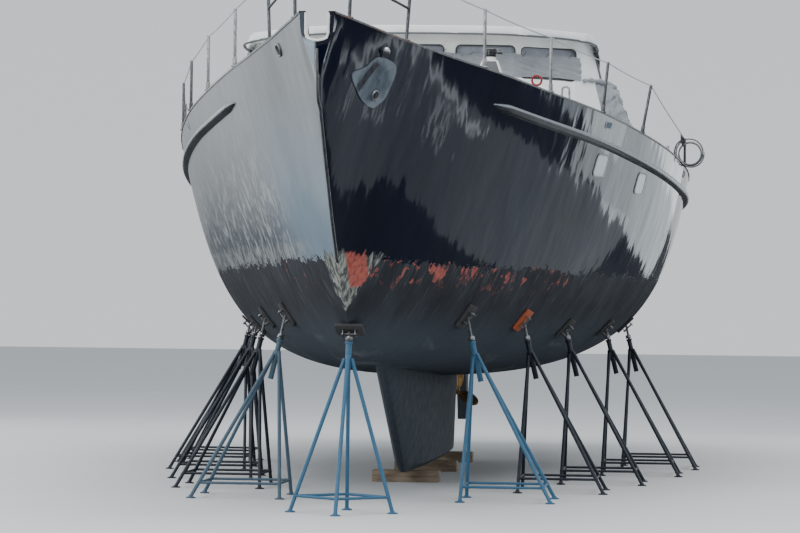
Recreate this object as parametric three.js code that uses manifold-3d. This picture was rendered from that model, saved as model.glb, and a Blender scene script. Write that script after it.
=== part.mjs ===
// Sailing yacht laid up ashore on its keel and jack stands, with its rig unstepped.
// Frame: millimetres, +X to the bow, +Y to port, +Z up, origin on the ground under the middle of the yacht.
import * as THREE from "three";
import Module from "manifold-3d";
import { mergeVertices } from "three/addons/utils/BufferGeometryUtils.js";

const wasm = await Module();
wasm.setup();

// Driving dimensions of the hull
const HALF_LENGTH = 9000;
const BULWARK_HEIGHT = 280;
const BULWARK_WALL = 50;
const DECK_THICKNESS = 30;
const STATION_STEP = 620;
const SECTION_STEPS = 10;
const GAP = 0.5;

// Hull sections from stem head to transom. Each section is a cubic curve from the keel line to the sheer.
// x, sheer half-breadth, sheer height, keel-line height, lower control y, z, upper control y, z
const HULL_SECTIONS = [
  [9000, 140, 4140, 3860, 105, 3860, 135, 3900],
  [8940, 160, 4135, 3620, 20, 3660, 100, 3900],
  [8700, 230, 4120, 3380, 20, 3420, 150, 3800],
  [8300, 360, 4090, 2980, 30, 3030, 200, 3550],
  [7800, 520, 4050, 2510, 40, 2620, 270, 3300],
  [7200, 720, 4010, 2050, 80, 2220, 360, 2950],
  [6600, 910, 3975, 1700, 200, 1860, 500, 2650],
  [5800, 1160, 3940, 1440, 420, 1550, 720, 2400],
  [4200, 1640, 3850, 1300, 800, 1260, 1120, 2050],
  [2500, 2080, 3770, 1200, 1150, 1160, 1550, 1800],
  [800, 2440, 3670, 1140, 1450, 1110, 1950, 1620],
  [-1200, 2740, 3560, 1080, 1850, 1080, 2350, 1620],
  [-3200, 2890, 3460, 1080, 2050, 1100, 2580, 1660],
  [-5200, 2840, 3400, 1200, 2050, 1240, 2540, 1760],
  [-7000, 2620, 3370, 1480, 1920, 1550, 2360, 1980],
  [-8300, 2380, 3360, 1830, 1780, 1920, 2160, 2240],
  [-9000, 2220, 3360, 2080, 1660, 2170, 2020, 2450],
];

// Finishes: colour, roughness, metalness
const FINISH = {
  topsides: [0x14181f, 0.25, 0.0],
  underwater: [0x1b1f26, 0.8, 0.0],
  whitePaint: [0xd9dad6, 0.45, 0.0],
  deckPaint: [0xb9b8b0, 0.8, 0.0],
  stainless: [0xb8bcc0, 0.25, 1.0],
  agedBronze: [0x8a6b3c, 0.4, 1.0],
  tintedGlass: [0x39424a, 0.1, 0.0],
  canvas: [0x8c8f92, 0.9, 0.0],
  teak: [0x8d6a45, 0.7, 0.0],
  timber: [0x7a6247, 0.85, 0.0],
  standBlue: [0x2f7fb0, 0.55, 0.3],
  standBlack: [0x20252c, 0.6, 0.3],
  rubber: [0x17191b, 0.8, 0.0],
};

// Solids and their tools

function solid(geometry) {
  const bare = geometry.index ? geometry.toNonIndexed() : geometry.clone();
  for (const name of Object.keys(bare.attributes)) {
    if (name !== "position") bare.deleteAttribute(name);
  }
  const merged = mergeVertices(bare, 1e-3);
  const kept = [];
  const index = merged.index.array;
  for (let i = 0; i < index.length; i += 3) {
    const [a, b, c] = [index[i], index[i + 1], index[i + 2]];
    if (a !== b && b !== c && c !== a) kept.push(a, b, c);
  }
  const build = (triangles) =>
    new wasm.Manifold(
      new wasm.Mesh({
        numProp: 3,
        vertProperties: new Float32Array(merged.attributes.position.array),
        triVerts: new Uint32Array(triangles),
      }),
    );
  const made = build(kept);
  if (made.volume() > 0) return made;
  for (let i = 0; i < kept.length; i += 3) [kept[i], kept[i + 1]] = [kept[i + 1], kept[i]];
  return build(kept);
}

function geometryOf(body) {
  const mesh = body.getMesh();
  const geometry = new THREE.BufferGeometry();
  const points = new Float32Array(mesh.numVert * 3);
  for (let i = 0; i < mesh.numVert; i++) {
    points.set(mesh.vertProperties.subarray(i * mesh.numProp, i * mesh.numProp + 3), i * 3);
  }
  geometry.setAttribute("position", new THREE.BufferAttribute(points, 3));
  geometry.setIndex(new THREE.BufferAttribute(mesh.triVerts, 1));
  geometry.computeVertexNormals();
  return geometry;
}

const join = (pieces) => pieces.reduce((whole, piece) => whole.add(piece));
const cut = (whole, tools) => tools.reduce((left, tool) => left.subtract(tool), whole);

function box(x0, x1, y0, y1, z0, z1) {
  const shape = new THREE.BoxGeometry(x1 - x0, y1 - y0, z1 - z0);
  shape.translate((x0 + x1) / 2, (y0 + y1) / 2, (z0 + z1) / 2);
  return solid(shape);
}

function extrude(shape, depth, curveSegments = 6) {
  return new THREE.ExtrudeGeometry(shape, { depth, bevelEnabled: false, curveSegments });
}

// A prism whose outline is drawn in y and z, from x0 to x1
function prismX(shape, x0, x1, curveSegments) {
  const turn = new THREE.Matrix4().makeBasis(
    new THREE.Vector3(0, 1, 0),
    new THREE.Vector3(0, 0, 1),
    new THREE.Vector3(1, 0, 0),
  );
  return solid(extrude(shape, x1 - x0, curveSegments).applyMatrix4(turn).translate(x0, 0, 0));
}

// A prism whose outline is drawn in x and z, from y0 to y1
function prismY(shape, y0, y1, curveSegments) {
  const turn = new THREE.Matrix4().makeBasis(
    new THREE.Vector3(1, 0, 0),
    new THREE.Vector3(0, 0, 1),
    new THREE.Vector3(0, -1, 0),
  );
  return solid(extrude(shape, y1 - y0, curveSegments).applyMatrix4(turn).translate(0, y1, 0));
}

// A prism whose outline is drawn in x and y, from z0 to z1
function prismZ(shape, z0, z1, curveSegments) {
  return solid(extrude(shape, z1 - z0, curveSegments).translate(0, 0, z0));
}

function outline(points) {
  return new THREE.Shape(points.map(([a, b]) => new THREE.Vector2(a, b)));
}

function roundedRectangle(a0, a1, b0, b1, radius) {
  const shape = new THREE.Shape();
  shape.moveTo(a0 + radius, b0);
  shape.lineTo(a1 - radius, b0);
  shape.absarc(a1 - radius, b0 + radius, radius, -Math.PI / 2, 0);
  shape.lineTo(a1, b1 - radius);
  shape.absarc(a1 - radius, b1 - radius, radius, 0, Math.PI / 2);
  shape.lineTo(a0 + radius, b1);
  shape.absarc(a0 + radius, b1 - radius, radius, Math.PI / 2, Math.PI);
  shape.lineTo(a0, b0 + radius);
  shape.absarc(a0 + radius, b0 + radius, radius, Math.PI, Math.PI * 1.5);
  return shape;
}

// A straight round bar between two points, with an optional second radius at its far end
function rod(from, to, radius, sides = 8, farRadius = radius) {
  const a = new THREE.Vector3(...from);
  const b = new THREE.Vector3(...to);
  const run = b.clone().sub(a);
  const shape = new THREE.CylinderGeometry(farRadius, radius, run.length(), sides);
  const turn = new THREE.Quaternion().setFromUnitVectors(new THREE.Vector3(0, 1, 0), run.normalize());
  shape.applyQuaternion(turn);
  const middle = a.add(b).multiplyScalar(0.5);
  return solid(shape.translate(middle.x, middle.y, middle.z));
}

// A bent tube along a smooth line through the points
function bentTube(points, radius, steps, sides = 6) {
  const line = new THREE.CatmullRomCurve3(points.map((p) => new THREE.Vector3(...p)), false, "centripetal");
  const ring = new THREE.Shape();
  for (let i = 0; i < sides; i++) {
    const angle = (2 * Math.PI * i) / sides;
    const place = [radius * Math.cos(angle), radius * Math.sin(angle)];
    if (i === 0) ring.moveTo(...place);
    else ring.lineTo(...place);
  }
  return solid(new THREE.ExtrudeGeometry(ring, { steps, bevelEnabled: false, extrudePath: line }));
}

// The triangles that close one end of a loft. Forward says that they use the ring's first edge from 0 to 1.
function capFaces(ring, forward) {
  const spread = (axis) => {
    const values = ring.map((point) => point[axis]);
    return Math.max(...values) - Math.min(...values);
  };
  const [u, v] = [0, 1, 2].sort((a, b) => spread(b) - spread(a));
  const flat = ring.map((point) => new THREE.Vector2(point[u], point[v]));
  const faces = THREE.ShapeUtils.triangulateShape(flat, []);
  const holdsFirstEdge = faces.some((face) => face.some((n, k) => n === 0 && face[(k + 1) % 3] === 1));
  return holdsFirstEdge === forward ? faces : faces.map(([a, b, c]) => [c, b, a]);
}

// A closed body through flat rings of equal point count
function loft(rings) {
  const count = rings[0].length;
  const last = (rings.length - 1) * count;
  const faces = capFaces(rings[0], false).flat();
  for (let i = 0; i + 1 < rings.length; i++) {
    for (let j = 0; j < count; j++) {
      const a = i * count + j;
      const b = i * count + ((j + 1) % count);
      faces.push(a, b, a + count, b, b + count, a + count);
    }
  }
  faces.push(...capFaces(rings.at(-1), true).flat().map((n) => n + last));
  const geometry = new THREE.BufferGeometry();
  geometry.setAttribute("position", new THREE.Float32BufferAttribute(rings.flat(2), 3));
  geometry.setIndex(faces);
  return solid(geometry);
}

// A body turned about an upright axis, from a profile of radius and height
function turned(profile, sides = 16) {
  const shape = new THREE.LatheGeometry(profile.map(([r, h]) => new THREE.Vector2(r, h)), sides);
  return solid(shape.rotateX(Math.PI / 2));
}

const lerp = THREE.MathUtils.lerp;

function uniquePoint(point, k, ring) {
  return ring.findIndex((other) => other.every((n, i) => n === point[i])) === k;
}

// A ring across the yacht from its port points of y and z, mirrored to starboard
function mirroredRing(x, points) {
  const port = points.map(([y, z]) => [x, y, z]);
  const starboard = points.map(([y, z]) => [x, -y, z]).reverse();
  return [...port, ...starboard];
}

// Hull surface

// One row of the hull table at any x, smooth between its sections
function hullRow(x) {
  const rows = HULL_SECTIONS;
  const found = rows.findIndex((row) => x >= row[0]);
  const i = found < 0 ? rows.length - 2 : Math.max(found - 1, 0);
  const chord = (j, column) => (rows[j + 1][column] - rows[j][column]) / (rows[j + 1][0] - rows[j][0]);
  const slope = (j, column) => {
    if (j === 0) return chord(0, column);
    if (j === rows.length - 1) return chord(j - 1, column);
    const before = rows[j - 1][0] - rows[j][0];
    const after = rows[j][0] - rows[j + 1][0];
    return (chord(j - 1, column) * after + chord(j, column) * before) / (before + after);
  };
  const span = rows[i + 1][0] - rows[i][0];
  const s = (x - rows[i][0]) / span;
  return rows[i].map((value, column) => {
    const ends = (2 * s ** 3 - 3 * s ** 2 + 1) * value + (3 * s ** 2 - 2 * s ** 3) * rows[i + 1][column];
    const slopes = (s ** 3 - 2 * s ** 2 + s) * slope(i, column) + (s ** 3 - s ** 2) * slope(i + 1, column);
    return ends + slopes * span;
  });
}

const sheerHalf = (x) => hullRow(x)[1];
const sheerHeight = (x) => hullRow(x)[2];
const deckHeight = (x) => sheerHeight(x) - BULWARK_HEIGHT;
const deckTop = (x) => deckHeight(x) + GAP + DECK_THICKNESS;

// Port side of the section at x as points of y and z, from the sheer to the keel line
function sectionPoints(x) {
  const [, sheerY, sheerZ, keelZ, lowY, lowZ, highY, highZ] = hullRow(x);
  const curve = new THREE.CubicBezierCurve(
    new THREE.Vector2(sheerY, sheerZ),
    new THREE.Vector2(highY, highZ),
    new THREE.Vector2(lowY, lowZ),
    new THREE.Vector2(0, keelZ),
  );
  return curve.getPoints(SECTION_STEPS).map((point) => [point.x, point.y]);
}

// Half-breadth of the section at x, at height z
function halfAt(x, z) {
  const points = sectionPoints(x);
  const k = points.findIndex((point) => point[1] <= z);
  if (k <= 0) return points[0][0];
  const s = (points[k - 1][1] - z) / (points[k - 1][1] - points[k][1]);
  return lerp(points[k - 1][0], points[k][0], s);
}

// The closed section at x, grown outwards by a clearance
function hullRing(x, clearance = 0) {
  const points = sectionPoints(x);
  const grown = points.map((point, k) => {
    const before = points[Math.max(k - 1, 0)];
    const after = points[Math.min(k + 1, SECTION_STEPS)];
    const run = new THREE.Vector2(after[0] - before[0], after[1] - before[1]).normalize();
    if (k < SECTION_STEPS) return [point[0] - run.y * clearance, point[1] + run.x * clearance];
    return [0, point[1] - clearance / Math.max(-run.x, 0.25)];
  });
  return mirroredRing(x, grown).filter((point, k) => k !== SECTION_STEPS);
}

// Section places from bow to stern, at every table row and at most a step apart
function stations(bow, stern) {
  const rows = HULL_SECTIONS.map((row) => row[0]);
  const places = rows.slice(0, -1).flatMap((x, i) => {
    const run = x - rows[i + 1];
    const parts = Math.ceil(run / STATION_STEP);
    return Array.from({ length: parts }, (_, k) => x - (run * k) / parts);
  });
  return [bow, ...places.filter((x) => x < bow - 1 && x > stern + 1), stern];
}

function hullSolid(clearance = 0) {
  const places = stations(HALF_LENGTH, -HALF_LENGTH);
  const rings = places.map((x) => hullRing(x, clearance));
  const shifted = rings.map((ring, k) => {
    const shift = k === 0 ? clearance : k === places.length - 1 ? -clearance : 0;
    return ring.map(([x, y, z]) => [x + shift, y, z]);
  });
  return loft(shifted);
}

const HULL_CLEAR = hullSolid(GAP);

// Everything up to a height that follows the sheer line
function below(heightAt, bow, stern) {
  const REACH = 3200;
  return loft(stations(bow, stern).map((x) => mirroredRing(x, [[REACH, 500], [REACH, heightAt(x) + GAP]])));
}

const WELL_BOW = 8880;
const WELL_STERN = -8860;
const BELOW_DECK = below(deckTop, WELL_BOW - 2, WELL_STERN + 2);
const BELOW_SHEER = below(sheerHeight, HALF_LENGTH, -HALF_LENGTH);

// Hull group

const FOOTWELL = { bow: -4350, stern: -7200, half: 550, floor: 2700 };
const SALOON = { bow: 0, stern: -4000, half: 1500, floor: 2600 };
const HATCH = { bow: 5400, stern: 4800, half: 300, floor: 3300 };
const WELLS = [FOOTWELL, SALOON, HATCH];
const NOTCH = { half: 88, shoulder: 3945, bottom: 3890, rim: 22, rimDepth: 6, liner: 7 };
const RUDDER = { x: -6950, nose: 50, chord: 700, bottom: 490, top: 1420, topAft: 1550, stock: 30 };
const TRANSOM = { topX: -9000, topZ: 3360, lowX: -8740, lowZ: 2000 };

const wellBox = (well, top) => box(well.stern, well.bow, -well.half, well.half, well.floor, top);

// A U open at the top, in y and z
function notchShape(grow) {
  const half = NOTCH.half + grow;
  const bottom = NOTCH.bottom - grow;
  const shape = new THREE.Shape();
  shape.moveTo(half, 4400);
  shape.lineTo(-half, 4400);
  shape.lineTo(-half, NOTCH.shoulder);
  shape.quadraticCurveTo(0, 2 * bottom - NOTCH.shoulder, half, NOTCH.shoulder);
  return shape;
}

function bulwarkWell() {
  return loft(
    stations(WELL_BOW, WELL_STERN).map((x) => {
      const deck = deckHeight(x);
      const top = sheerHeight(x);
      const low = halfAt(x, deck) - BULWARK_WALL;
      const high = sheerHalf(x) - BULWARK_WALL;
      return mirroredRing(x, [[low, deck], [high, top], [high, top + 200]]);
    }),
  );
}

function transomRake() {
  const { topX, topZ, lowX, lowZ } = TRANSOM;
  const high = topZ + 400;
  const side = [[topX, topZ], [topX, high], [-9600, high], [-9600, 1500], [lowX, 1500], [lowX, lowZ]];
  return prismY(outline(side), -3200, 3200);
}

// The hull in parts: below the paint line, the topsides up to the deck, and the bulwark in three lengths
const PAINT_LINE = 2200;
const BELOW_PAINT_LINE = box(-9500, 9500, -3200, 3200, 0, PAINT_LINE);

function makeBottom() {
  const stockBore = rod([RUDDER.x, 0, 1300], [RUDDER.x, 0, 1690], RUDDER.stock + 8, 20);
  return cut(hullSolid().intersect(BELOW_PAINT_LINE), [stockBore, transomRake()]);
}

function makeTopsides() {
  const upToDeck = below((x) => deckHeight(x) - 3 * GAP, HALF_LENGTH + 50, -HALF_LENGTH - 50);
  const wells = WELLS.map((well) => wellBox(well, 4000));
  const bottom = BELOW_PAINT_LINE.translate([0, 0, GAP]);
  return cut(hullSolid().intersect(upToDeck), [bottom, transomRake(), ...wells]);
}

function makeBulwark(length) {
  const upToDeck = below(deckHeight, HALF_LENGTH + 50, -HALF_LENGTH - 50);
  const front = HALF_LENGTH - NOTCH.rimDepth - GAP;
  const rimSeat = prismX(notchShape(NOTCH.rim + GAP), front, HALF_LENGTH + 100);
  const notch = prismX(notchShape(0), 8700, HALF_LENGTH + 100);
  return cut(hullSolid().intersect(length), [upToDeck, bulwarkWell(), notch, rimSeat, transomRake()]);
}

const BULWARK_LENGTHS = {
  port: box(WELL_STERN, 9500, GAP / 2, 3200, 2900, 4400),
  starboard: box(WELL_STERN, 9500, -3200, -GAP / 2, 2900, 4400),
  transom: box(-9500, WELL_STERN - GAP, -3200, 3200, 2900, 4400),
};

function makeDeck() {
  const plate = loft(
    stations(WELL_BOW - 2, WELL_STERN + 2).map((x) => {
      const half = halfAt(x, deckHeight(x)) - BULWARK_WALL - 1;
      return mirroredRing(x, [[half, deckHeight(x) + GAP], [half, deckTop(x)]]);
    }),
  );
  return cut(plate, WELLS.map((well) => wellBox(well, 4000)));
}

function makeStemFitting() {
  const front = HALF_LENGTH - NOTCH.rimDepth;
  const channel = prismX(notchShape(-GAP), WELL_BOW + 3, HALF_LENGTH);
  const rim = prismX(notchShape(NOTCH.rim), front, HALF_LENGTH);
  const opening = prismX(notchShape(-NOTCH.liner), 8700, HALF_LENGTH + 100);
  return cut(join([channel, rim]), [opening, box(8700, 9100, -300, 300, 4134, 4500)]);
}

// A bar that follows the stem just off the hull
function makeStemBar() {
  const BAR = { half: 12, thick: 13, off: 1, top: 3800, bottom: 2200 };
  const line = HULL_SECTIONS.map((row) => [row[0], row[3]]).filter(([, z]) => z > 2000);
  const place = (z) => {
    const k = line.findIndex((point) => point[1] <= z);
    const s = (line[k - 1][1] - z) / (line[k - 1][1] - line[k][1]);
    return [lerp(line[k - 1][0], line[k][0], s), z];
  };
  const inner = line.filter(([, z]) => z < BAR.top - 60 && z > BAR.bottom + 60);
  const path = [place(BAR.top), ...inner, place(BAR.bottom)];
  const rings = path.map(([x, z], k) => {
    const before = path[Math.max(k - 1, 0)];
    const after = path[Math.min(k + 1, path.length - 1)];
    const run = new THREE.Vector2(after[0] - before[0], after[1] - before[1]).normalize();
    const at = (off) => [x - run.y * off, z + run.x * off];
    const [inX, inZ] = at(BAR.off);
    const [outX, outZ] = at(BAR.off + BAR.thick);
    return [
      [inX, BAR.half, inZ],
      [inX, -BAR.half, inZ],
      [outX, -BAR.half, outZ],
      [outX, BAR.half, outZ],
    ];
  });
  return cut(loft(rings), [HULL_CLEAR]);
}

// The worn steel plate around the port anchor's stowage, in x and z
function makeAnchorPlate() {
  const PLATE = [
    [7990, 3864], [7630, 3810], [7630, 3572], [7720, 3491], [7810, 3457],
    [8020, 3495], [8200, 3572], [8380, 3693], [8170, 3768],
  ];
  const THICKNESS = 10;
  const shell = cut(hullSolid(THICKNESS), [HULL_CLEAR]);
  const keyhole = prismY(outline([[7825, 3535], [7860, 3535], [7855, 3572], [7830, 3572]]), 0, 900);
  return cut(shell.intersect(prismY(outline(PLATE), 50, 900)), [keyhole]);
}

function makeHawsePipe() {
  const dome = new THREE.SphereGeometry(1, 12, 8).scale(50, 26, 50).translate(7930, 433, 3921);
  return cut(solid(dome), [HULL_CLEAR]);
}

const STRAKE = { bow: 5480, stern: -8940, half: 42, proud: 52 };

function makeStrake(side) {
  const fullness = (x) => Math.min(1, 0.25 + 0.75 * Math.sqrt(Math.max(0, STRAKE.bow - x) / 150));
  const { bow, stern } = STRAKE;
  const places = [bow, bow - 30, bow - 90, ...stations(bow - 150, stern)];
  const rings = places.map((x) => {
    const size = fullness(x);
    const back = [-1, 1].map((end) => {
      const z = deckHeight(x) + end * STRAKE.half * size;
      return [x, side * (halfAt(x, z) - 30), z];
    });
    const front = Array.from({ length: 7 }, (_, k) => {
      const angle = Math.PI * (0.5 - k / 6);
      const z = deckHeight(x) + STRAKE.half * size * Math.sin(angle);
      return [x, side * (halfAt(x, z) + 2 + STRAKE.proud * size * Math.cos(angle)), z];
    });
    return [back[0], back[1], ...front];
  });
  return cut(loft(rings), [HULL_CLEAR]);
}

// Ballast keel: front x, back x and half thickness at the foot and at the root
const KEEL = { footZ: 120, rootZ: 1400, foot: [1400, -4500, 170], root: [3885, -4748, 232] };

function makeKeel() {
  const ring = ([bow, stern, half], z) => {
    const port = [[bow, 14], [bow - 160, half * 0.6], [bow - 620, half], [stern + 1500, half], [stern, 16]];
    return [...port, ...port.map(([x, y]) => [x, -y]).reverse()].map(([x, y]) => [x, y, z]);
  };
  return cut(loft([ring(KEEL.foot, KEEL.footZ), ring(KEEL.root, KEEL.rootZ)]), [HULL_CLEAR]);
}

function makeSkeg() {
  const side = outline([
    [-6238, 1500], [-6750, 500], [-6760, 420], [-7010, 420], [-7010, 480], [-6880, 480], [-6880, 1500],
  ]);
  return cut(prismY(side, -60, 60), [HULL_CLEAR]);
}

// Rudder about its own stock, at x and y of zero
function makeRudder() {
  const { nose, chord, bottom, top, topAft, stock } = RUDDER;
  const plan = new THREE.Shape();
  plan.absarc(0, 0, nose, -Math.PI / 2, Math.PI / 2);
  plan.lineTo(-chord, 6);
  plan.lineTo(-chord, -6);
  const slope = (topAft - top) / chord;
  const aft = -chord - 50;
  const above = outline([[100, top - 100 * slope], [aft, topAft + 50 * slope], [aft, 2000], [100, 2000]]);
  const blade = cut(prismZ(plan, bottom, 1700, 5), [prismY(above, -200, 200)]);
  return join([blade, rod([0, 0, top - 60], [0, 0, 1640], stock, 12)]);
}

// Shaft line from the keel's back edge to the propeller
const SHAFT = { from: [-4668, 0, 950], slope: 0.1213, radius: 25 };
const shaftPoint = (x) => [x, 0, SHAFT.from[2] + (x - SHAFT.from[0]) * SHAFT.slope];
const PROPELLER = { x: -5950, radius: 300, hubHalf: 60, hubRadius: 46, blades: 3 };

function makeShaft() {
  const STRUT_X = -5740;
  const end = shaftPoint(PROPELLER.x + PROPELLER.hubHalf + 8);
  const shaft = rod(SHAFT.from, end, SHAFT.radius, 10);
  const barrel = rod(shaftPoint(STRUT_X + 60), shaftPoint(STRUT_X - 60), 44, 10);
  const x = STRUT_X;
  const arm = outline([[x + 50, 830], [x - 50, 825], [x - 30, 1450], [x + 90, 1450]]);
  return cut(join([shaft, barrel, prismY(arm, -12, 12)]), [HULL_CLEAR]);
}

// Propeller about its own centre, turning on x
function makePropeller() {
  const { radius, hubHalf, hubRadius, blades } = PROPELLER;
  const THICKNESS = 12;
  const PITCH = THREE.MathUtils.degToRad(30);
  const half = (radius - 30) / 2;
  const leaf = new THREE.Shape().absellipse(0, 0, 84, half, 0, 2 * Math.PI);
  const parts = [rod([hubHalf, 0, 0], [-hubHalf, 0, 0], hubRadius, 12, hubRadius * 0.7)];
  for (let k = 0; k < blades; k++) {
    const shape = extrude(leaf, THICKNESS, 14).translate(0, 0, -THICKNESS / 2).rotateX(Math.PI / 2);
    shape.rotateZ(Math.PI / 2 - PITCH).translate(0, 0, radius - half).rotateX((2 * Math.PI * k) / blades);
    parts.push(solid(shape));
  }
  return join(parts);
}

// Deck group

// Deckhouse walls between two levels: x and y of each corner low down, then x and y high up, front to back
const HOUSE = {
  low: 3150,
  high: 4740,
  wall: 40,
  corners: [
    [850, 400, 450, 380],
    [750, 1100, 350, 1030],
    [250, 1850, -150, 1700],
    [-350, 2230, -500, 1838],
    [-4160, 2150, -4160, 1778],
  ],
};
const WINDOW = {
  low: 4270, high: 4620, radius: 50,
  sideLow: 4250, sideHigh: 4580,
  backLow: 4150, backHigh: 4550,
};
const FRONT_WINDOWS = [[-310, 310], [440, 1060], [1120, 1690], [-1060, -440], [-1690, -1120]];
const SIDE_WINDOWS = [[-1650, -750], [-2750, -1850], [-3850, -2950]];
const BACK_WINDOWS = [[600, 1400], [-1400, -600]];
const DOOR = { half: 333, low: 3309, high: 4592, outer: -4157, inner: -4123, clearance: 7 };

// Moves each corner of an outline inwards, its points in order with the inside on the left
function insetOutline(points, distance) {
  const direction = ([ax, ay], [bx, by]) => new THREE.Vector2(bx - ax, by - ay).normalize();
  return points.map((point, i) => {
    const before = direction(points.at(i - 1), point);
    const after = direction(point, points[(i + 1) % points.length]);
    const k = distance / (1 + before.dot(after));
    return [point[0] - k * (before.y + after.y), point[1] + k * (before.x + after.x)];
  });
}

function houseRing(z, inset) {
  const s = (z - HOUSE.low) / (HOUSE.high - HOUSE.low);
  const port = HOUSE.corners.map(([lowX, lowY, highX, highY]) => [
    lerp(lowX, highX, s),
    lerp(lowY, highY, s),
  ]);
  const around = [...port, ...port.map(([x, y]) => [x, -y]).reverse()];
  return insetOutline(around, inset).map(([x, y]) => [x, y, z]);
}

// The deckhouse's outer form, moved inwards, between two heights
function houseSolid(inset, z0 = 2900, z1 = 5000) {
  const whole = loft([houseRing(2900, inset), houseRing(5000, inset)]);
  return whole.intersect(box(-5000, 2000, -2600, 2600, z0, z1));
}

const ROOF = {
  bow: 700, stern: -4450, cornerX: -420,
  cornerHalf: 1936, sternHalf: 1800, thick: 82, flatTo: 1700,
};

// Height of the roof's top: nearly flat, with its edges turned down at the sides
function roofTop(y) {
  const edge = Math.max(0, Math.abs(y) - ROOF.flatTo) / (ROOF.cornerHalf - ROOF.flatTo);
  return 4812 - 25 * (y / 1900) ** 2 - 150 * edge ** 8;
}

// The roof's crown as a slab between two offsets from its top. It narrows towards the stern.
function roofSlab(low, high) {
  const places = [0, 700, 1300, ROOF.flatTo, 1790, 1845, 1885, 1915, ROOF.cornerHalf, 1950];
  const narrowing = (ROOF.cornerHalf - ROOF.sternHalf) / ROOF.cornerHalf / (ROOF.cornerX - ROOF.stern);
  const ring = (x) => {
    const scale = 1 - narrowing * (ROOF.cornerX - x);
    const upper = places.map((y) => [y * scale, roofTop(y) + high]);
    const lower = places.map((y) => [y * scale, roofTop(y) + low]).reverse();
    return mirroredRing(x, [...upper, ...lower]).filter(uniquePoint);
  };
  return loft([ring(ROOF.bow), ring(ROOF.stern)]);
}

function makeHouseWalls() {
  const shell = cut(houseSolid(0), [houseSolid(HOUSE.wall)]);
  const { low, high, radius } = WINDOW;
  const front = FRONT_WINDOWS.map(([a, b]) =>
    prismX(roundedRectangle(a, b, low, high, radius), -400, 1000, 3),
  );
  const side = SIDE_WINDOWS.map(([a, b]) =>
    prismY(roundedRectangle(a, b, WINDOW.sideLow, WINDOW.sideHigh, radius), -2400, 2400, 3),
  );
  const back = BACK_WINDOWS.map(([a, b]) =>
    prismX(roundedRectangle(a, b, WINDOW.backLow, WINDOW.backHigh, radius), -4300, -4000, 3),
  );
  const half = DOOR.half + DOOR.clearance;
  const doorway = box(-4300, -4000, -half, half, DOOR.low - 9, DOOR.high + 8);
  return cut(shell, [BELOW_DECK, roofSlab(-ROOF.thick - GAP, 900), ...front, ...side, ...back, doorway]);
}

// One band of tinted glass just inside the walls, open at the door
function makeGlazing() {
  const INNER_GAP = 2;
  const THICKNESS = 8;
  const inset = HOUSE.wall + INNER_GAP;
  const band = cut(houseSolid(inset, 4130, 4720), [houseSolid(inset + THICKNESS)]);
  const half = DOOR.half + DOOR.clearance + 5;
  return cut(band, [roofSlab(-ROOF.thick - GAP, 900), box(-4300, -4000, -half, half, 4000, 4900)]);
}

function makeRoof() {
  const corners = [[ROOF.cornerX, ROOF.cornerHalf], [ROOF.stern, ROOF.sternHalf]];
  const port = [[ROOF.bow, 450], [580, 1150], [-30, 1800], ...corners];
  const plan = outline([...port, ...port.map(([x, y]) => [x, -y]).reverse()]);
  return roofSlab(-ROOF.thick, 0).intersect(prismZ(plan, 4300, 5000));
}

// Companionway door about its hinge line on the port side of the doorway
function makeDoor() {
  const { half, low, high, outer, inner } = DOOR;
  return box(0, inner - outer, -2 * half, 0, 0, high - low);
}

function makeRoofRail(side) {
  const RAIL = {
    bow: -100, stern: -3900, y: 1140, inner: 836, z: 4850,
    radius: 11, feet: [-120, -1370, -2620, -3880],
  };
  const at = (x, y, z = RAIL.z) => [x, side * y, z];
  const bars = [
    rod(at(RAIL.bow, RAIL.y), at(RAIL.stern, RAIL.y), RAIL.radius),
    rod(at(RAIL.bow - 10, RAIL.y + 8), at(RAIL.bow - 10, RAIL.inner), RAIL.radius),
  ];
  const places = [...RAIL.feet.map((x) => [x, RAIL.y]), [RAIL.bow - 10, RAIL.inner + 14]];
  const feet = places.map(([x, y]) => rod(at(x, y, RAIL.z - 80), at(x, y), RAIL.radius));
  return cut(join([...bars, ...feet]), [roofSlab(-600, GAP)]);
}

// Canvas laced over the lower part of the front windows
function makeWindowCover() {
  const COVER = { near: 6, far: 38, low: 4295, high: 4560, stern: -300, half: 1745 };
  const band = cut(houseSolid(-COVER.far, COVER.low, COVER.high), [houseSolid(-COVER.near)]);
  return band.intersect(box(COVER.stern, 1200, -COVER.half, COVER.half, 4000, 4800));
}

// Half-breadth of the deckhouse at x and at height z
function houseHalf(x, z) {
  const corners = houseRing(z, 0).slice(0, HOUSE.corners.length);
  const k = corners.findIndex(([cornerX], i) => i > 0 && x >= cornerX);
  const [ahead, behind] = [corners[k - 1], corners[k]];
  return lerp(ahead[1], behind[1], (ahead[0] - x) / (ahead[0] - behind[0]));
}

// Canvas that hangs slack from the port wall down to the bulwark, as the closed form that its folds fill:
// place along the yacht and fullness
const CURTAIN = {
  top: 4290, shoulder: 4225, bottom: 3600, near: 10, shoulderOut: 112, out: 190,
  places: [[-260, 0.35], [-480, 1], [-1700, 1], [-2900, 1], [-4000, 1]],
};

function makeSideCurtain() {
  const { top, shoulder, bottom, near, shoulderOut, out, places } = CURTAIN;
  const ring = ([x, full]) => [
    [x, houseHalf(x, bottom) + near, bottom],
    [x, houseHalf(x, top) + near, top],
    [x, houseHalf(x, top) + near + 20 * full, top + 6],
    [x, houseHalf(x, shoulder) + near + shoulderOut * full, shoulder],
    [x, houseHalf(x, bottom) + near + out * full, bottom + 8],
  ];
  return cut(loft(places.map(ring)), [houseSolid(-GAP)]);
}

function makeHatchFrame() {
  const TOP = 3740;
  const frame = box(HATCH.stern - 50, HATCH.bow + 50, -350, 350, 3500, TOP);
  const opening = box(HATCH.stern + 10, HATCH.bow - 10, 10 - HATCH.half, HATCH.half - 10, 3000, 4000);
  return cut(frame, [opening, BELOW_DECK]);
}

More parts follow.
